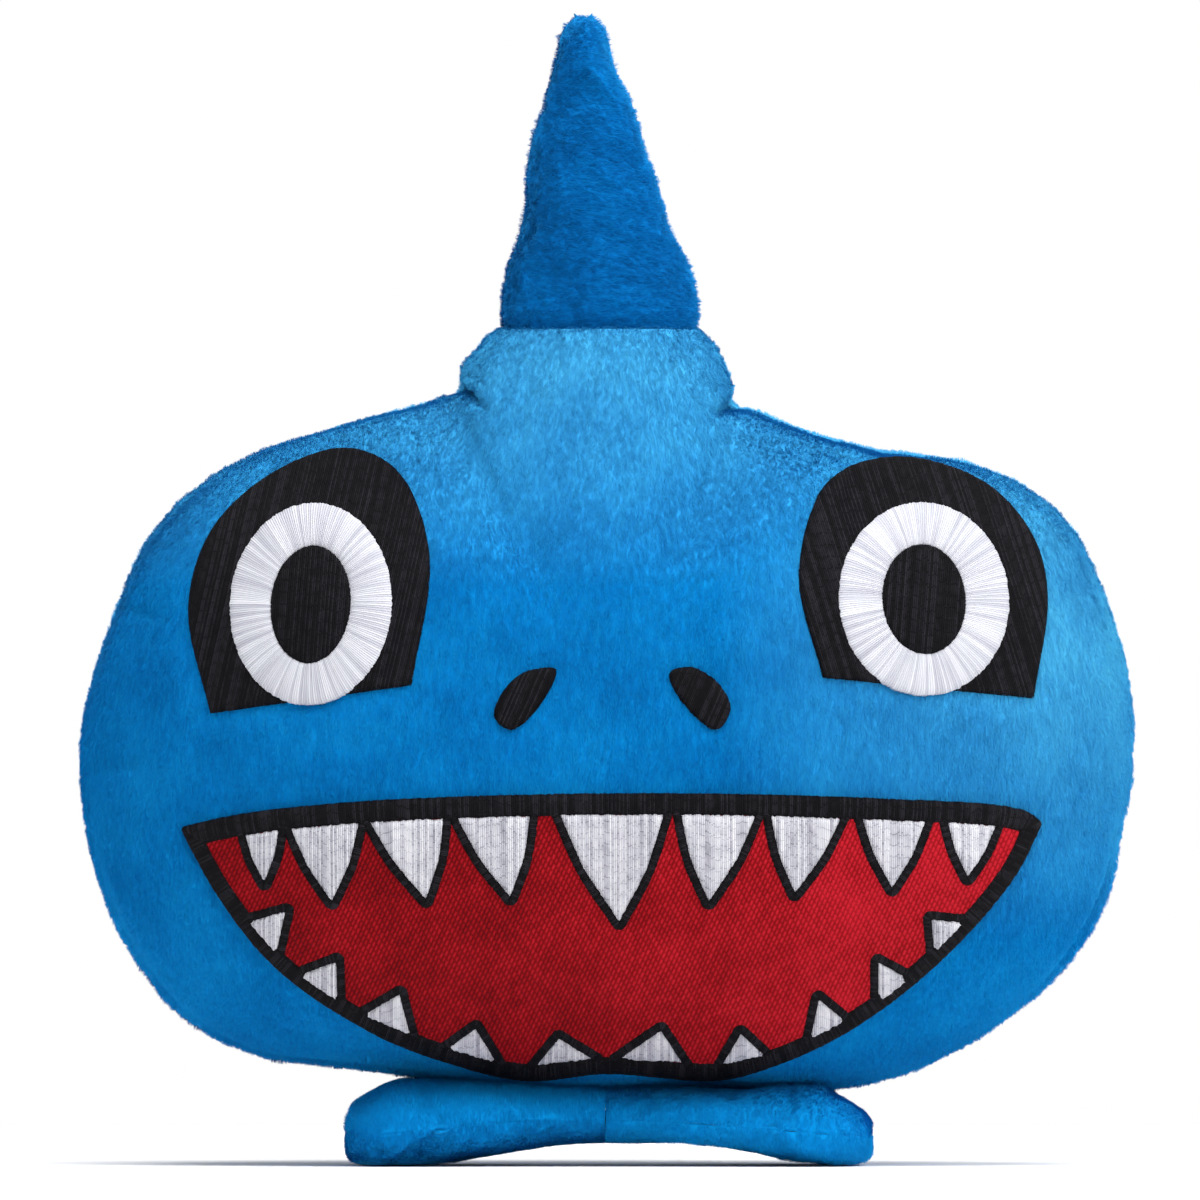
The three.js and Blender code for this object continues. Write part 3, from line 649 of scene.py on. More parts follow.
def near_stitches(points):
    """For each outline of embroidery, how far from it each point is in XZ, and whether it is within."""
    place = points[:, [0, 2]]
    for loop in (mouth_loop, *eye_loops.values(), *nostril_loops.values()):
        gap, _ = distance_to(place, spaced(loop, 2.5, True), True)
        yield gap, inside(place, loop)


def crease(points, line, depth, width, ridge):
    """Height of a fold along a line in XZ, with a raised ridge beside it."""
    gap, along = distance_to(points[:, [0, 2]], line, False)
    total = norm(np.diff(np.array(line, float), axis=0), axis=1).sum()
    fade = np.sin(np.clip(along / total, 0.04, 0.96) * math.pi) ** 0.5
    return fade * (ridge * bell(gap - 2.2 * width, width) - depth * bell(gap, width))


def head_skin(side):
    """One side of the head's skin as a grid: the pillow, pushed out by its stuffing, and its sewn detail."""
    grid = pillow_grid(columns, rings, SKIN_INSET, side)
    grid += finer(head_push[side], RINGS + 1, len(columns), True)
    flat = grid.reshape(-1, 3)
    out = normals_of(flat, whole_faces)
    out *= np.sign((out[:, 1] * side).sum())
    from_seam = np.abs(flat[:, 1])
    turn = np.tile(np.linspace(0, 1, len(columns), endpoint=False), RINGS + 1)
    around = np.column_stack([np.cos(turn * 2 * math.pi), np.sin(turn * 2 * math.pi), from_seam * 0.012])
    gathers = rough(around * 100, 5.2, 3.0 * side) * bell(from_seam, 9) * smoothstep(from_seam, 0, 3)
    lift = -0.7 * bell(from_seam, 1.5) + 0.75 * gathers
    lift = lift + 0.5 * rough(flat, 26, 1.0) + 0.16 * rough(flat, 8, 5.0)
    if side < 0:
        for gap, within in near_stitches(flat):
            lift -= 0.75 * bell(gap, np.where(within, 9, 3))
        for fold in CREASES:
            lift += crease(flat, *fold)
    else:
        lift -= 1.3 * bell(flat[:, 0], 1.7)
        lift += 0.5 * rough(flat, 7, 9.0) * bell(flat[:, 0], 9)
    lift[from_seam < 1e-6] = -0.5
    flat = flat + out * lift[:, None]
    over = np.maximum(0, flat[:, 2] - CROWN_TOP_Z + 0.6)
    flat[:, 2] -= over * 0.98
    return flat.reshape(grid.shape)


def stuffed_push():
    """How far the stuffing pushes the face and the back, on every third column and ring. The push is
    evened out, and towards the middle of each side it becomes the same all round."""
    coarse_columns = columns[::COARSE]
    coarse_rings = rings[::COARSE]
    coarse = np.array([pillow_grid(coarse_columns, coarse_rings, SKIN_INSET, side) for side in (-1, 1)])
    points = coarse.reshape(-1, 3)
    one_side = grid_faces(len(coarse_rings), len(coarse_columns), True)
    faces = np.vstack([one_side, one_side[:, ::-1] + len(points) // 2])
    pinned = (np.abs(points[:, 1]) < 0.01) | (points[:, 2] > CROWN_TOP_Z - 4)
    pushed = inflate(points, faces, pinned, cap=2.6, slack=0.03).reshape(coarse.shape)
    for _ in range(PUSH_PASSES):
        pushed = (np.roll(pushed, 1, axis=2) + 2 * pushed + np.roll(pushed, -1, axis=2)) / 4
    same_all_round = pushed.mean(axis=2, keepdims=True)
    calm_rings = int(np.searchsorted(coarse_rings, 0.2))
    same_all_round[:, :calm_rings] = same_all_round[:, calm_rings : calm_rings + 1]
    own_share = smoothstep(coarse_rings, 0.15, 0.6)[:, None, None]
    return same_all_round + (pushed - same_all_round) * own_share


head_push = dict(zip((-1, 1), stuffed_push()))
face_grid = head_skin(-1)
back_grid = head_skin(1)
face_grid[-1] = back_grid[-1] = (face_grid[-1] + back_grid[-1]) / 2
face_verts = face_grid.reshape(-1, 3)
back_verts = back_grid.reshape(-1, 3)
face_tree = BVHTree.FromPolygons(face_verts.tolist(), whole_faces.tolist())
back_tree = BVHTree.FromPolygons(back_verts.tolist(), whole_faces.tolist())


# -------- panels with pile
def points_of(piece):
    return read(piece.data.vertices, "co", size=3).reshape(-1, 3) / MM


def thicken(piece, thickness):
    configure(piece.modifiers.new("Solidify", "SOLIDIFY"), thickness=thickness * MM, offset=-1)


def declare(piece, node):
    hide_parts(node)


def on_head(piece, node):
    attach(piece, "head")
    declare(piece, node)


def on_hinge(piece, body, bend, node):
    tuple(bend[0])
    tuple(bend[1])
    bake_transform(piece)
    declare(piece, node)


def add_pile(piece, nap, seed, bare=None):
    """Short hair over the piece, brushed towards where nap (two values a point) falls in its second
    value, and none where bare(points) is 1."""
    mesh = piece.data
    corner_points = read(mesh.loops, "vertex_index", np.int32)
    layer = mesh.uv_layers.new(name="nap")
    layer.data.foreach_set("uv", (np.asarray(nap)[corner_points] * 0.01).astype(np.float32).ravel())
    area = sum(p.area for p in mesh.polygons) / MM**2
    system = piece.modifiers.new("pile", "PARTICLE_SYSTEM").particle_system
    system.seed = seed
    configure(
        system.settings, type="HAIR", use_modifier_stack=False, use_advanced_hair=True,
        count=int(area * STRANDS_PER_MM2 / CHILDREN), hair_step=3, render_step=2, display_step=2,
        emit_from="FACE", use_emit_random=True, distribution="RAND", hair_length=4 * MM,
        normal_factor=PILE_RISE * MM / 4, tangent_factor=PILE_LAY * MM / 4,
        factor_random=PILE_UNEVEN * MM / 4, length_random=0.3, child_type="INTERPOLATED",
        child_percent=1, rendered_child_count=CHILDREN, child_length=1.0, clump_factor=0.12,
        roughness_2=0.15 * MM, roughness_2_size=1.0, root_radius=1.0, tip_radius=0.35,
        radius_scale=STRAND_WIDTH / 2 * MM, material=1,
    )
    if bare is not None:
        weight = np.round(1 - bare(points_of(piece)), 1)
        group = piece.vertex_groups.new(name="pile")
        for level in np.unique(weight):
            group.add(np.flatnonzero(weight == level).tolist(), float(level), "REPLACE")
        system.vertex_group_density = "pile"


def under_stitches(points):
    covered = np.zeros(len(points))
    for gap, within in near_stitches(points):
        covered = np.maximum(covered, within * smoothstep(gap, 0.8, 1.8))
    return covered


def part_of(verts, faces):
    """The points that the faces use, joined where they meet, and the faces numbered on them."""
    used, number = np.unique(faces, return_inverse=True)
    return weld(verts[used], number.reshape(faces.shape))[:2]


face_panel = mesh_piece("plush_face", *part_of(face_verts, whole_faces), BLUE)
chin_column = int(np.argmin(np.where(columns[:, 1] < HEAD_CENTRE_Z, np.abs(columns[:, 0]), 1e9)))
column_of = np.tile(np.arange(len(columns)), RINGS)
right_faces = whole_faces[column_of < chin_column]
left_faces = whole_faces[column_of >= chin_column]
back_right = mesh_piece("plush_back_right", *part_of(back_verts, right_faces), BLUE)
back_left = mesh_piece("plush_back_left", *part_of(back_verts, left_faces), BLUE)


def face_outwards(piece, middle):
    """Turns the faces so that they point away from the middle."""
    mesh = piece.data
    lean = sum(p.area * p.normal.dot(p.center - Vector(middle) * MM) for p in mesh.polygons)
    if lean < 0:
        mesh.flip_normals()


for piece, node, way, seed, bare in (
    (face_panel, "face_panel", 1, 1, under_stitches),
    (back_right, "back_panel_right", -1, 2, None),
    (back_left, "back_panel_left", -1, 3, None),
):
    face_outwards(piece, (0, 0, HEAD_CENTRE_Z))
    add_pile(piece, points_of(piece)[:, [0, 2]] * (way, 1), seed, bare)
    thicken(piece, FABRIC)
    on_head(piece, node)


def closed_by(rings_of_points):
    """A closed skin over a stack of rings, capped at both ends."""
    rows, count, _ = rings_of_points.shape
    verts = rings_of_points.reshape(-1, 3)
    faces = [list(f) for f in grid_faces(rows, count, True)]
    caps = [verts[:count].mean(0), verts[-count:].mean(0)]
    verts = np.vstack([verts, caps])
    for k in range(count):
        after = (k + 1) % count
        faces.append([after, k, rows * count])
        faces.append([(rows - 1) * count + k, (rows - 1) * count + after, rows * count + 1])
    return verts, faces


def stuffing(name, verts, faces, node, middle, body=None, bend=None):
    verts = verts + 0.35 * normals_of(verts, faces) * rough(verts, 5, 2.0)[:, None]
    piece = mesh_piece(name, verts, faces, FIBRE)
    face_outwards(piece, middle)
    if bend:
        on_hinge(piece, body, bend, node)
    else:
        on_head(piece, node)


INNER_RINGS = np.sin(np.linspace(0, math.pi / 2, 25))
STUFFING_INSET = SKIN_INSET + FABRIC + 2.5
inner = [pillow_grid(columns[::3], INNER_RINGS, STUFFING_INSET, side) for side in (-1, 1)]
stack = np.vstack([inner[0][1:], inner[1][1:-1][::-1]])
stack[..., 2] = np.minimum(stack[..., 2], CROWN_TOP_Z - 4)
stuffing("fibre_head", *closed_by(stack), "head_stuffing", (0, 0, HEAD_CENTRE_Z))


# -------- embroidery
STITCH_LOW = -0.5
STITCH_ROOT = -1.0  # how deep the embroidery's underside lies in the cloth
BAND_STEP = 0.42
BAND_OFFSET = 13.7  # keeps the threads of one band unlike those of the next
TIP_STEPS = 7


def on_skin(place, tree=face_tree, side=-1):
    """The points of the head's skin in front of the given XZ places."""
    made = np.empty((len(place), 3))
    for k, (x, z) in enumerate(place):
        hit, _, _, _ = tree.ray_cast(Vector((x, side * 200, z)), Vector((0, -side, 0)))
        if hit is None:
            hit, _, _, _ = tree.find_nearest(Vector((x, side * 20, z)))
        made[k] = hit
    return made


def stitched_solid(place, faces, height):
    """The closed solid of stitches over a sheet of XZ places, each as high over the cloth as given."""
    skin = on_skin(place)
    out = normals_of(skin, faces)
    out *= np.where(out[:, 1] > 0, -1, 1)[:, None]
    verts = np.vstack([skin + out * (h + STITCH_LIFT)[:, None] for h in (height, height * 0 + STITCH_ROOT)])
    count = len(place)
    sheet = faces.tolist()
    edges = [(f[k - 1], f[k]) for f in sheet for k in range(len(f))]
    known = set(edges)
    sides = [[b, a, a + count, b + count] for a, b in edges if (b, a) not in known]
    return verts, sheet + (faces[:, ::-1] + count).tolist() + sides


def fill_mesh(loop, gap, jag, lay):
    """Points and triangles over an outline, with thread ends jagged along the lay."""
    edge = spaced(loop, gap * 0.8, True)
    edge = edge + rng.uniform(-jag, jag, len(edge))[:, None] * np.array(lay)[None]
    low, high = edge.min(0), edge.max(0)
    xs, zs = np.arange(low[0], high[0], gap), np.arange(low[1], high[1], gap * 0.87)
    grid = np.array([(x + (k % 2) * gap / 2, z) for k, z in enumerate(zs) for x in xs])
    from_edge, _ = distance_to(grid, edge, True)
    points = np.vstack([edge, grid[inside(grid, edge) & (from_edge > gap * 0.55)]])
    count = len(edge)
    links = [(k, (k + 1) % count) for k in range(count)]
    made, _, faces, *_ = delaunay_2d_cdt([Vector(p) for p in points.tolist()], links, [], 0, 1e-7)
    made = np.array([tuple(p) for p in made])
    faces = np.array(faces)
    return made, faces[inside(made[faces].mean(1), edge)], edge


def fill_piece(name, loop, material, lay, low, crest, shoulder, gap, jag):
    """A closed plate of stitches over an outline, rounded down from crest to low within shoulder of
    its edge. Its points are gap apart, and its threads end within jag of the outline."""
    place, faces, edge = fill_mesh(loop, gap, jag, lay)
    from_edge, _ = distance_to(place, edge, True)
    rounding = np.sqrt(1 - (1 - np.clip(from_edge / shoulder, 0, 1)) ** 2)
    piece = mesh_piece(name, *stitched_solid(place, faces, low + (crest - low) * rounding), material)
    across = place @ np.array([lay[1], -lay[0]])
    set_stitches(piece, np.tile(across, 2), np.tile(place @ np.array(lay), 2))
    return piece


def band(inner_edge, outer_edge, low, crest, closed, jag, ridge=0.0, rows=9):
    """A column of satin stitches between two edges: its points, its faces, its place across and along
    the threads, and the length of a full turn. ridge adds a thin cord sewn along the outer edge."""
    count = len(inner_edge)
    middle = (inner_edge + outer_edge) / 2
    step = norm(np.roll(middle, -1, axis=0) - middle, axis=1)
    run = np.concatenate([[0], np.cumsum(step)[:-1]])
    width = norm(outer_edge - inner_edge, axis=1)
    loose_in, loose_out = (rng.uniform(-jag, jag, count) / np.maximum(width, 0.5) for _ in range(2))
    place, height, along = [], [], []
    for share in (1 - np.cos(np.linspace(0, math.pi, rows))) / 2:
        moved = share + loose_in * (1 - share) + loose_out * share
        place.append(inner_edge + (outer_edge - inner_edge) * moved[:, None])
        dome = math.sqrt(max(0.0, 1 - abs(2 * share - 1) ** 2.6))
        height.append(np.full(count, low + (crest - low) * dome + ridge * bell(share - 0.8, 0.1)))
        along.append(share * width)
    sheet = grid_faces(rows, count, closed)
    verts, faces = stitched_solid(np.vstack(place), sheet, np.concatenate(height))
    lap = run[-1] + step[-1] if closed else 0.0
    return verts, faces, np.tile(run, 2 * rows), np.tile(np.concatenate(along), 2), np.full(len(verts), lap)


def merged(name, parts, material):
    """One piece from several bands."""
    verts, faces, across, along, laps = zip(*parts)
    firsts = np.cumsum([0, *(len(v) for v in verts)])
    all_faces = [[k + first for k in face] for first, part in zip(firsts, faces) for face in part]
    piece = mesh_piece(name, np.vstack(verts), all_faces, material)
    across = [run + BAND_OFFSET * k for k, run in enumerate(across)]
    set_stitches(piece, *(np.concatenate(values) for values in (across, along, laps)))
    return piece


def edge_normals(line, closed):
    """Unit normals on the left of the line's direction."""
    if closed:
        ahead = np.roll(line, -1, axis=0) - np.roll(line, 1, axis=0)
    else:
        ahead = np.gradient(line, axis=0)
    ahead /= np.maximum(1e-9, norm(ahead, axis=1, keepdims=True))
    return np.column_stack([-ahead[:, 1], ahead[:, 0]])


def rounded_loop(loop, gap, passes):
    """A closed outline with its corners eased."""
    p = spaced(loop, gap, True)
    for _ in range(passes):
        p = (np.roll(p, 1, axis=0) + 2 * p + np.roll(p, -1, axis=0)) / 4
    return p


lips_outer = rounded_loop(mouth_loop, BAND_STEP, 6)
lips_next = np.roll(lips_outer, -1, axis=0)
turn = np.sign(np.sum(lips_outer[:, 0] * lips_next[:, 1] - lips_next[:, 0] * lips_outer[:, 1]))
towards_middle = edge_normals(rounded_loop(mouth_loop, BAND_STEP, 40), True) * turn
lip_width = BORDER_SIDE + (BORDER_TOP - BORDER_SIDE) * smoothstep(lips_outer[:, 1], 72, 76)
kernel = np.ones(15) / 15
lip_width = np.convolve(np.concatenate([lip_width[-7:], lip_width, lip_width[:7]]), kernel, "valid")
lips_inner = lips_outer + towards_middle * lip_width[:, None]
embroidery = [band(lips_inner, lips_outer, STITCH_LOW, crest=0.75, closed=True, jag=0.08, ridge=0.3)]


def upper_tooth(left, right, tip):
    top = curve_through(MOUTH_TOP_EDGE, 4, False)
    roots = [(x, np.interp(x, top[:, 0], top[:, 1]) - TOOTH_ROOT_DROP + TOOTH_TUCK) for x in (left, right)]
    sides = []
    for (x, z), way in zip(roots, (-1, 1)):
        push = way * TOOTH_BULGE * math.hypot(tip[0] - x, tip[1] - z)
        sides.append(((x + tip[0]) / 2 + push, (z + tip[1]) / 2))
    return [roots[0], sides[0], tip, sides[1], roots[1]]


def lower_tooth(left, right, tip):
    roots = []
    for root in (left, right):
        share = TOOTH_TUCK / math.dist(root, tip)
        roots.append(tuple(a + (a - b) * share for a, b in zip(root, tip)))
    return [roots[0], tip, roots[1]]


def outline_band(path):
    """The satin outline around a tooth, from one root round its tip to the other."""
    path = np.array(path, float)
    tip = len(path) // 2
    ends = ((path[0], path[1]), (path[-1], path[-2]))
    lead, trail = (a + (a - b) / norm(a - b) * 1.5 for a, b in ends)
    flanks = []
    for part in ([lead, *path[: tip + 1]], [*path[tip:], trail]):
        part = spaced(curve_through(part, 8, False), BAND_STEP, False)
        out = edge_normals(part, False)
        if ((part - path.mean(0)) * out).sum() < 0:
            out = -out
        flanks.append((part, out))
    (first, first_out), (second, second_out) = flanks
    start, end = (math.atan2(n[1], n[0]) for n in (first_out[-1], second_out[0]))
    swing = (end - start + math.pi) % (2 * math.pi) - math.pi
    fan = start + swing * np.arange(1, TIP_STEPS) / TIP_STEPS
    points = np.vstack([first, np.repeat(path[tip][None], len(fan), 0), second])
    out = np.vstack([first_out, np.column_stack([np.cos(fan), np.sin(fan)]), second_out])
    inner, outer = points - out * 0.35, points + out * TOOTH_OUTLINE
    return band(inner, outer, STITCH_LOW, crest=0.5, closed=False, jag=0.08, rows=6)


teeth = [("upper", k + 1, upper_tooth(*t)) for k, t in enumerate(UPPER_TEETH)]
teeth += [("lower", k + 1, lower_tooth(*t)) for k, t in enumerate(LOWER_TEETH)]
for _, _, path in teeth:
    embroidery.append(outline_band(path))
on_head(merged("black_mouth_stitches", embroidery, BLACK), "mouth_embroidery")

patch_loop = spaced(lips_outer + towards_middle * 1.5, 1.2, True)
mouth_cloth = fill_piece(
    "red_mouth_cloth", patch_loop, RED, (0, 1), low=-0.6, crest=0.0, shoulder=2.5, gap=1.15, jag=0.0
)
on_head(mouth_cloth, "mouth_patch")

for row, number, path in teeth:
    tooth = fill_piece(
        f"white_{row}_tooth_{number}", spaced(path, 0.8, True), TOOTH_WHITE, (0, 1),
        low=0.1, crest=0.8, shoulder=1.3, gap=0.55, jag=0.22,
    )
    on_head(tooth, f"{row}_tooth_{number}")


def ellipse(centre, half, lean, count, grow=0.0):
    turn = np.linspace(0, 2 * math.pi, count, endpoint=False)
    x = (half[0] + grow) * np.cos(turn)
    z = (half[1] + grow) * np.sin(turn)
    tilt = math.radians(lean)
    return np.column_stack([
        centre[0] + x * math.cos(tilt) - z * math.sin(tilt),
        centre[1] + x * math.sin(tilt) + z * math.cos(tilt),
    ])


for side, eye in EYES.items():
    surround = fill_piece(
        f"black_{side}_eye", eye_loops[side], BLACK, eye["lay"],
        low=-0.3, crest=0.45, shoulder=1.2, gap=0.75, jag=0.06,
    )
    on_head(surround, f"{side}_eye_surround")
    count = int(2 * math.pi * sum(eye["ring"]) / 2 / BAND_STEP)
    outer_edge = ellipse(eye["centre"], eye["ring"], eye["lean"], count)
    inner_edge = ellipse(eye["centre"], eye["pupil"], eye["lean"], count, 0.1)
    ring = band(inner_edge, outer_edge, low=0.3, crest=1.25, closed=True, jag=0.12)
    on_head(merged(f"white_{side}_ring", [ring], WHITE), f"{side}_eye_ring")
    pupil = fill_piece(
        f"black_{side}_pupil", ellipse(eye["centre"], eye["pupil"], eye["lean"], 80, 0.5), BLACK, (0.08, 1),
        low=0.2, crest=1.0, shoulder=1.2, gap=0.55, jag=0.1,
    )
    on_head(pupil, f"{side}_eye_pupil")
    nostril = fill_piece(
        f"black_{side}_nostril", nostril_loops[side], BLACK, (0.4, 0.9),
        low=-0.3, crest=0.6, shoulder=1.4, gap=0.55, jag=0.14,
    )
    on_head(nostril, f"{side}_nostril")


# -------- the back's label and closing stitches
def tube(path, radius, sides=8):
    """A closed round thread along a path of points."""
    ahead = np.gradient(path, axis=0)
    ahead /= norm(ahead, axis=1, keepdims=True)
    side = np.cross(ahead, (0, 1, 0))
    side /= np.maximum(1e-9, norm(side, axis=1, keepdims=True))
    up = np.cross(side, ahead)
    turn = np.linspace(0, 2 * math.pi, sides, endpoint=False)[None, :, None]
    return closed_by(path[:, None] + radius * (np.cos(turn) * side[:, None] + np.sin(turn) * up[:, None]))


def closing_stitches():
    """The zigzag over the seam: up over the cloth, and down into it at each turn."""
    turns = round((ZIGZAG_HIGH - ZIGZAG_LOW) / ZIGZAG_PITCH)
    corners = [
        (ZIGZAG_REACH * (1 if k % 2 else -1), ZIGZAG_LOW + k * ZIGZAG_PITCH / 2)
        for k in range(2 * turns + 1)
    ]
    path = spaced(corners, 0.45, False)
    skin = on_skin(path, back_tree, 1)
    dip = np.abs(path[:, 0]) / ZIGZAG_REACH
    skin[:, 1] += 1.5 - 1.9 * dip**5
    verts, faces = tube(skin, radius=0.36)
    piece = mesh_piece("blue_closing_stitches", verts, faces, SEAM_THREAD)
    set_stitches(piece, verts[:, 1] * 3, verts[:, 2])
    on_head(piece, "closing_stitches")


def care_label():
    """A blank ribbon caught in the seam, lying on the cloth with its free end lifted a little."""
    across = np.linspace(LABEL_LEFT, LABEL_RIGHT, 57)
    up = np.linspace(LABEL_LOW, LABEL_HIGH, 37)
    place = np.array([(x, z) for z in up for x in across])
    skin = on_skin(place, back_tree, 1)
    free = (place[:, 0] - LABEL_LEFT) / (LABEL_RIGHT - LABEL_LEFT)
    wave = 0.25 * np.sin(free * 7 + place[:, 1] * 0.12)
    skin[:, 1] += 0.8 + 0.9 * smoothstep(free, 0, 0.15) + 0.6 * free**2 + wave * smoothstep(free, 0.1, 0.4)
    piece = mesh_piece("white_label", skin, grid_faces(len(up), len(across), False), RIBBON)
    face_outwards(piece, (0, 0, HEAD_CENTRE_Z))
    thicken(piece, RIBBON_THICKNESS)
    on_head(piece, "care_label")


closing_stitches()
care_label()


# -------- the fins
FIN_ROWS = 61
FIN_ACROSS = 41


def station_rows(stations, count):
    """The stations' values again, smoothly, at count rows."""
    line = curve_through(stations, 12, False)
    line = spaced(line, norm(np.diff(line, axis=0), axis=1).sum() / (count - 1), False)
    at = np.linspace(0, len(line) - 1, count)
    whole = np.arange(len(line))
    return np.column_stack([np.interp(at, whole, line[:, k]) for k in range(line.shape[1])])


def section(across, power):
    """How far along the chord each point of a fin's section is (-1 to 1), and how far it bulges."""
    u = -np.cos(np.linspace(0, math.pi, across))
    return u, np.sqrt(np.maximum(0, 1 - np.abs(u) ** power))


def dorsal_grid(inset, side, rows=FIN_ROWS, across=FIN_ACROSS):
    u, bulge = section(across, FIN_POWER)
    made = []
    for z, left, right, depth in station_rows(DORSAL_STATIONS, rows):
        half_width = max(0.4, (right - left) / 2 - inset)
        y = side * max(0.3, depth - inset) * bulge
        top = np.full(across, min(z, DORSAL_STATIONS[-1][0] - inset))
        made.append(np.column_stack([(left + right) / 2 + half_width * u, y, top]))
    made.append(made[-1] * (1, 0, 1))
    return np.array(made)


def lobe_grid(inset, up, reach, rows=FIN_ROWS, across=FIN_ACROSS, snug=0.0):
    """One skin of a lobe. snug is how far its top is pressed up against the head."""
    u, bulge = section(across, LOBE_POWER)
    made = []
    tip = LOBE_STATIONS[-1][0] - inset
    for x, z, thick, chord in station_rows(LOBE_STATIONS, rows):
        rise = max(0.3, thick - inset) * bulge
        x = x if x > 0.6 else 0.0
        press = snug * bulge * (1 - smoothstep(x, 44, 56))
        reached = np.full(across, min(x, tip) * reach)
        made.append(np.column_stack([reached, max(1.0, chord - inset) * u, z + up * rise + press]))
    made.append(made[-1] * (1, 1, 0) + (0, 0, LOBE_STATIONS[-1][1]))
    return np.array(made)


def fin_push(grids, pins, cap):
    """How far the stuffing pushes a fin's two skins, worked out on every second row and column."""
    thin = np.array([g[::2, ::2] for g in grids])
    _, rows, across, _ = thin.shape
    points = thin.reshape(-1, 3)
    faces = grid_faces(rows, across, False)
    faces = np.vstack([faces, faces[:, ::-1] + rows * across])
    moved = inflate(points, faces, pins(points), cap, slack=0.02).reshape(thin.shape)
    return [finer(m, *grids[0].shape[:2], False) for m in moved]


def grid_nap(grid, way):
    """A nap that runs along the rows of a grid, from its last column to its first where way is 1."""
    rows, across, _ = grid.shape
    row, column = np.meshgrid(np.arange(rows), np.arange(across), indexing="ij")
    return np.column_stack([row.ravel(), way * column.ravel()])


def fin_panel(name, grid, push, groove, material, middle):
    """One panel of a fin, with the seam along its edges pulled in."""
    flat = (grid + push).reshape(-1, 3)
    faces = grid_faces(*grid.shape[:2], False)
    out = normals_of(flat, faces)
    out *= 1 if ((flat - np.array(middle)) * out).sum() > 0 else -1
    lift = 0.35 * rough(flat, 13, 4.0) + 0.12 * rough(flat, 5, 8.0) - groove(grid.reshape(-1, 3))
    piece = mesh_piece(name, flat + out * lift[:, None], faces, material)
    face_outwards(piece, middle)
    return piece


def fin_stuffing(name, core, end_rows, body, node, middle, bend):
    """The stuffing between a fin's two inner skins, without the last end_rows of them."""
    front, back = (skin[:-end_rows] for skin in core)
    loops = np.concatenate([front, back[:, 1:-1][:, ::-1]], axis=1)
    stuffing(name, *closed_by(loops), node, middle, body, bend)


def dorsal_groove(points):
    return np.maximum(bell(points[:, 1], 1.3) * 0.5, bell(points[:, 2] - CROWN_TOP_Z, 1.6) * 0.8)


def lobe_groove(points):
    chord = np.interp(np.abs(points[:, 0]), [s[0] for s in LOBE_STATIONS], [s[3] for s in LOBE_STATIONS])
    return 0.7 * bell(np.maximum(0, chord - np.abs(points[:, 1])), 2.2)


def dorsal_pins(points):
    return (np.abs(points[:, 1]) < 0.02) | (points[:, 2] < 188) | (points[:, 2] > 252)


def lobe_pins(points):
    out = np.abs(points[:, 1])
    return (np.abs(out - out.max()) < 0.5) | (np.abs(points[:, 0]) < 1)


def low_points(points):
    return 1 - smoothstep(points[:, 2], 0.6, 2.0)


DORSAL_MIDDLE = (-3, 0, 210)
DORSAL_BEND = ((-0.0012, 0, 0.1857), (-0.0012, 0, 0.205))
fronts = [dorsal_grid(SKIN_INSET * 0.6, side) for side in (-1, 1)]
pushes = fin_push(fronts, dorsal_pins, cap=1.4)
for face, grid, push, seed in (("front", fronts[0], pushes[0], 4), ("back", fronts[1], pushes[1], 5)):
    piece = fin_panel(f"plush_dorsal_{face}", grid, push, dorsal_groove, BLUE_FIN, DORSAL_MIDDLE)
    add_pile(piece, grid_nap(grid, -1), seed)
    thicken(piece, FABRIC * 0.8)
    on_hinge(piece, "dorsal_fin", DORSAL_BEND, f"dorsal_fin_{face}_panel")

core = [dorsal_grid(SKIN_INSET + FABRIC + 1.5, side, 24, 17) for side in (-1, 1)]
fin_stuffing("fibre_dorsal", core, 2, "dorsal_fin", "dorsal_fin_stuffing", DORSAL_MIDDLE, DORSAL_BEND)

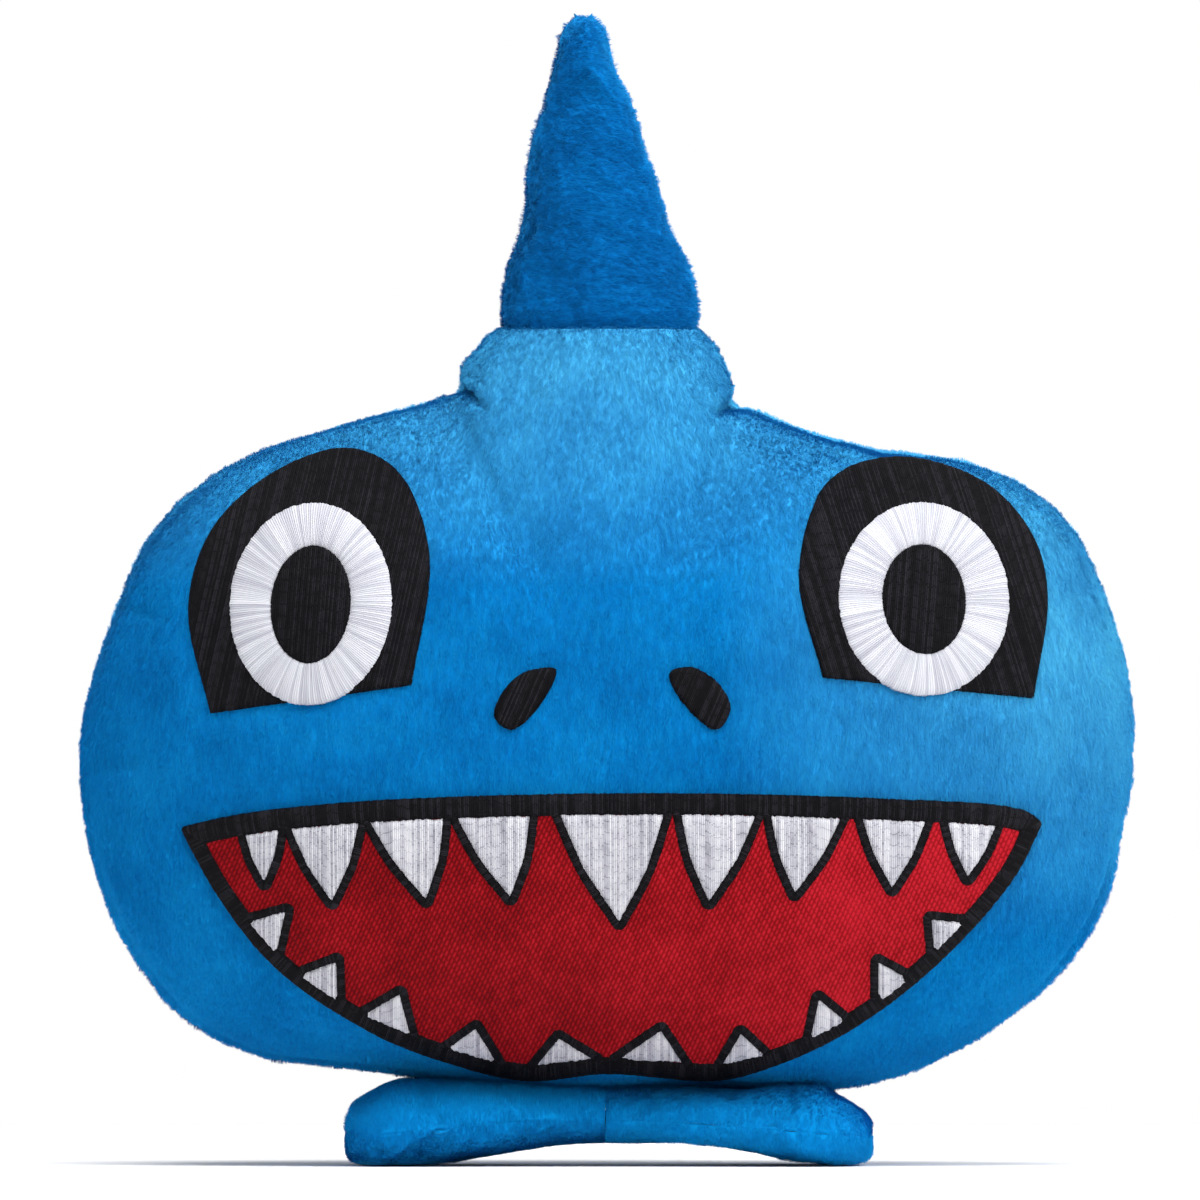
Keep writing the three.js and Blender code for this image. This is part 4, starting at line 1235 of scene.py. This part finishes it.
for side, way, reach in (("left", -1, -LEFT_REACH), ("right", 1, RIGHT_REACH)):
    grids = [lobe_grid(SKIN_INSET * 0.8, up, reach, snug=LOBE_SNUG * (up > 0)) for up in (1, -1)]
    pushes = fin_push(grids, lobe_pins, cap=1.0)
    bend = ((way * 0.001, 0, LOBE_HINGE_Z * MM), (way * 0.015, 0, LOBE_HINGE_Z * MM))
    middle = (way * 30, 0, 8.5)
    for face, grid, push, forwards, seed in (
        ("top", grids[0], pushes[0], way, 6), ("sole", grids[1], pushes[1], -way, 7)
    ):
        eased = push * smoothstep(np.abs(grid[..., :1]), 0, 26)
        piece = fin_panel(f"plush_{side}_base_{face}", grid, eased, lobe_groove, BLUE, middle)
        for v in piece.data.vertices:
            v.co.z = max(v.co.z, FLOOR_GAP * MM)
        add_pile(piece, grid_nap(grid, forwards), seed + 10 * (way > 0), low_points)
        thicken(piece, FABRIC * 0.7)
        on_hinge(piece, f"{side}_base_fin", bend, f"{side}_base_fin_{face}_panel")
    core = [lobe_grid(SKIN_INSET + FABRIC + 0.9, up, reach, 20, 15) for up in (1, -1)]
    fin_stuffing(f"fibre_{side}_base", core, 1, f"{side}_base_fin", f"{side}_base_fin_stuffing", middle, bend)


# -------- floor, light and camera
FLOOR_HALF = 750
FLOOR_ALBEDO = 0.97
SKY_OVERHEAD = 0.35  # the room is white at eye level and darker overhead, where the lamps are

floor_look = Nodes("pale_floor").set(
    Base_Color=(FLOOR_ALBEDO, FLOOR_ALBEDO, FLOOR_ALBEDO, 1), Roughness=0.9, Specular_IOR_Level=0.1
)
floor_points = [(x * FLOOR_HALF, y * FLOOR_HALF, 0) for x, y in ((-1, -1), (1, -1), (1, 1), (-1, 1))]
floor = mesh_piece("floor", floor_points, [[0, 1, 2, 3]], floor_look, False)

world = bpy.data.worlds.new("studio")
bpy.context.scene.world = world
sky = Nodes("studio", world)
_, _, upwards = sky.split(sky.add("TexCoord", outputs=("Generated",)))
sky.set(Color=sky.spread(upwards, 0.12, 0.45, 1.0, SKY_OVERHEAD), Strength=1.0)


def area_light(name, place, target, size, power):
    light = bpy.data.lights.new(name, "AREA")
    configure(light, shape="DISK", size=size, energy=power)
    aim = (Vector(target) - Vector(place)).to_track_quat("-Z", "Y").to_euler()
    configure(new_object(name, light), location=place, rotation_euler=aim)


area_light("key", (1.2, -0.9, 1.1), (0, 0, 0.1), size=1.5, power=26)
area_light("top", (0.0, -0.6, 1.6), (0, 0, 0.12), size=1.5, power=41)

CAMERA_DISTANCE = 10.0
FRAME_WIDTH = 0.2654  # what the picture takes in at the seam plane
SENSOR_WIDTH = 36
camera = new_object("camera", bpy.data.cameras.new("camera"))
lens = SENSOR_WIDTH * CAMERA_DISTANCE / FRAME_WIDTH
configure(camera.data, sensor_width=SENSOR_WIDTH, lens=lens, clip_end=50)
configure(camera, location=(-0.0012, -CAMERA_DISTANCE, 0.125), rotation_euler=(math.pi / 2, 0, 0))
bpy.context.scene.camera = camera
bpy.context.scene.view_settings.view_transform = "Standard"
